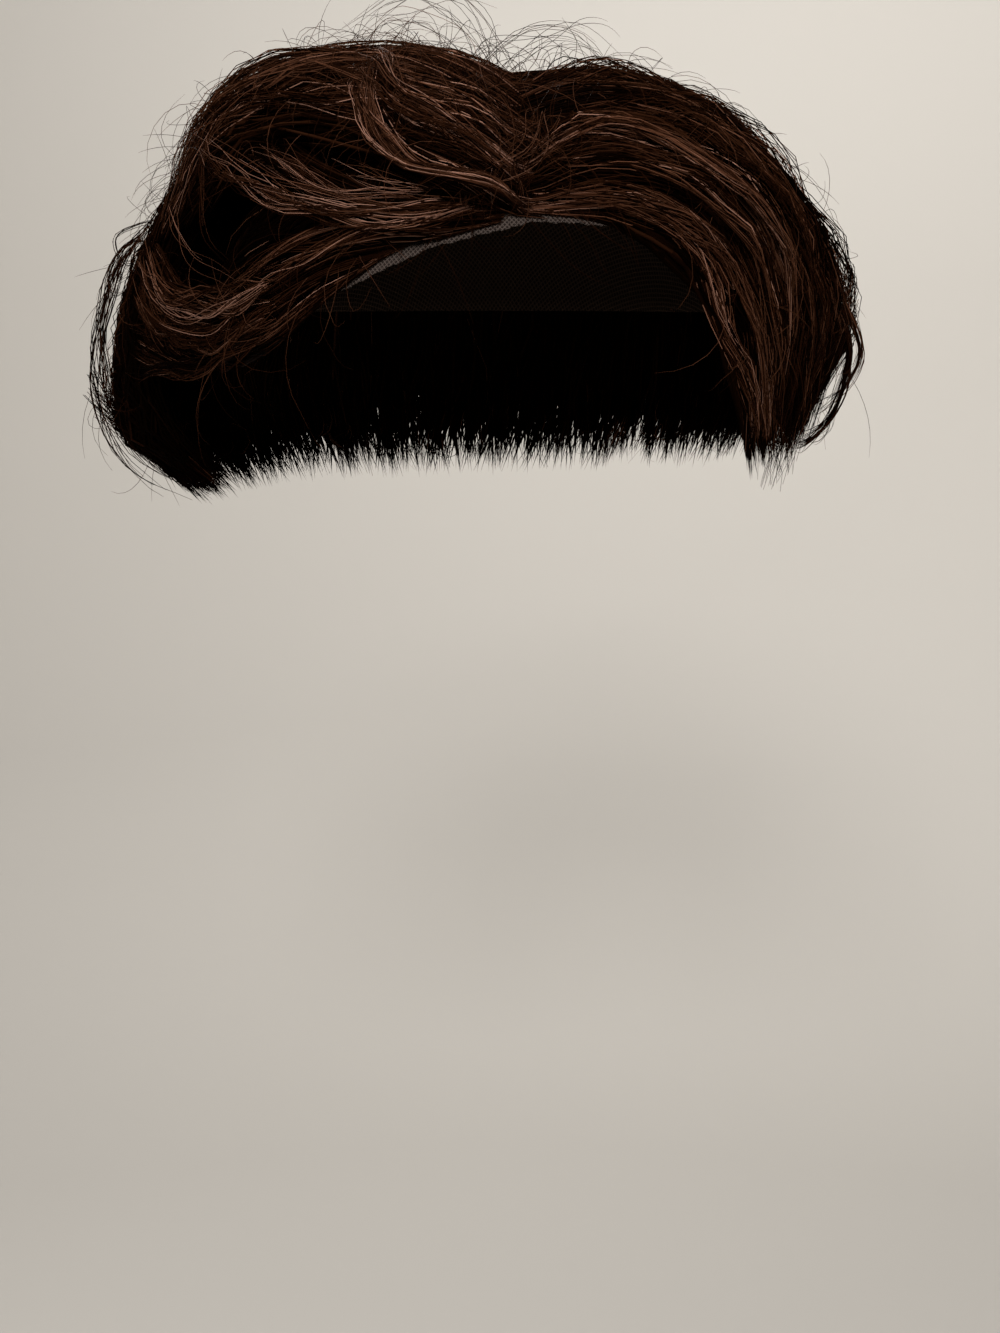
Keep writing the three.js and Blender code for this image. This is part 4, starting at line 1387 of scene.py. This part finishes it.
# %% Studio drum
DRUM_FLOOR = -0.75
FLOOR_RADIUS = 1.0
CURVE_RADIUS = 0.7
CURVE_STEPS = 10
WALL_HEIGHT = 0.6
DRUM_SIDES = 96
DRUM_FINISH = {"Base Color": (0.42, 0.395, 0.36, 1), "Roughness": 1.0, "Specular IOR Level": 0.0}
radius = FLOOR_RADIUS + CURVE_RADIUS
level = DRUM_FLOOR + CURVE_RADIUS + WALL_HEIGHT
bpy.ops.object.select_all(action="DESELECT")
bpy.ops.mesh.primitive_circle_add(
    vertices=DRUM_SIDES, radius=radius, fill_type="NOTHING", location=(0, 0, level)
)
drum = bpy.context.object
drum.name = "studio_drum"
bpy.ops.object.transform_apply(location=True, rotation=True, scale=True)
bpy.ops.object.mode_set(mode="EDIT")
bpy.ops.mesh.select_all(action="SELECT")
for step in range(CURVE_STEPS + 1):
    bend = step / CURVE_STEPS * math.pi / 2
    wide = FLOOR_RADIUS + CURVE_RADIUS * math.cos(bend)
    tall = DRUM_FLOOR + CURVE_RADIUS * (1 - math.sin(bend))
    bpy.ops.mesh.extrude_region_move(TRANSFORM_OT_translate={"value": (0, 0, tall - level)})
    bpy.ops.transform.resize(value=(wide / radius, wide / radius, 1), center_override=(0, 0, 0))
    radius, level = wide, tall
bpy.ops.mesh.edge_face_add()
bpy.ops.object.mode_set(mode="OBJECT")
bpy.ops.object.shade_smooth()
drum_material, drum_shader, _, _ = new_material("drum")
set_inputs(drum_shader, DRUM_FINISH)
drum.data.materials.append(drum_material)
print("drum size in m", [round(side, 2) for side in drum.dimensions])

# %% [markdown]
# Light
#
# The main light is soft and stands in front, above the camera. Weaker ones at the sides, above and behind
# keep the other sides from going black, and one that is turned away from the hair brightens the wall. All
# are area lamps, whose size makes soft shadows. A sun lamp would give each strand a hard one. A row gives a
# lamp's name, its place and aim in metres, its size, its power in watts and its spread in degrees.

# %% Lamps
HAIR_AIM = Vector((0, 0, -0.04))
WALL_AIM = Vector((0.3, 1.7, 0.05))
LAMPS = (
    ("key", (-0.12, -1.2, 0.42), HAIR_AIM, 0.22, 26, 180),
    ("right", (0.9, -0.8, 0.3), HAIR_AIM, 0.3, 3, 180),
    ("left", (-0.9, -0.8, 0.2), HAIR_AIM, 0.3, 2.5, 180),
    ("top", (0.1, -0.1, 1.2), HAIR_AIM, 0.5, 20, 180),
    ("back", (-0.35, 1.2, 0.35), HAIR_AIM, 0.4, 7, 180),
    ("wall", (0.1, 0.6, 0.6), WALL_AIM, 0.8, 6, 110),
)
SKY = {"Color": (0.8, 0.8, 0.82, 1), "Strength": 0.08}
for lamp_name, spot, aim, size, power, spread in LAMPS:
    lamp_data = bpy.data.lights.new(lamp_name, "AREA")
    lamp_data.size = size
    lamp_data.energy = power
    lamp_data.spread = math.radians(spread)
    lamp = bpy.data.objects.new(lamp_name, lamp_data)
    lamp.location = spot
    lamp.rotation_euler = (aim - Vector(spot)).to_track_quat("-Z", "Y").to_euler()
    bpy.context.scene.collection.objects.link(lamp)

world = bpy.data.worlds.new("studio")
world.use_nodes = True
set_inputs(world.node_tree.nodes["Background"], SKY)
bpy.context.scene.world = world
print("lamps", len(LAMPS), "with", sum(lamp[4] for lamp in LAMPS), "W")

# %% [markdown]
# Camera
#
# The picture is taken from in front, just below the crown, looking a little down. The lens is chosen so
# that the hair fills the frame as it does in the photograph, from a distance of 0.6 m. A longer lens from
# further off would flatten the locks that stand out towards it.

# %% Camera
CAMERA_PLACE = (0, -0.6, -0.058)
CAMERA_DIP = 10.3
CAMERA_LENS = 55.8
camera_data = bpy.data.cameras.new("camera")
camera_data.lens = CAMERA_LENS
camera = bpy.data.objects.new("camera", camera_data)
camera.location = CAMERA_PLACE
camera.rotation_euler = (math.radians(90 - CAMERA_DIP), 0, 0)
bpy.context.scene.collection.objects.link(camera)
bpy.context.scene.camera = camera
bpy.context.scene.view_settings.view_transform = "Standard"
print("camera lens in mm", CAMERA_LENS, "looking down by", CAMERA_DIP, "degrees")
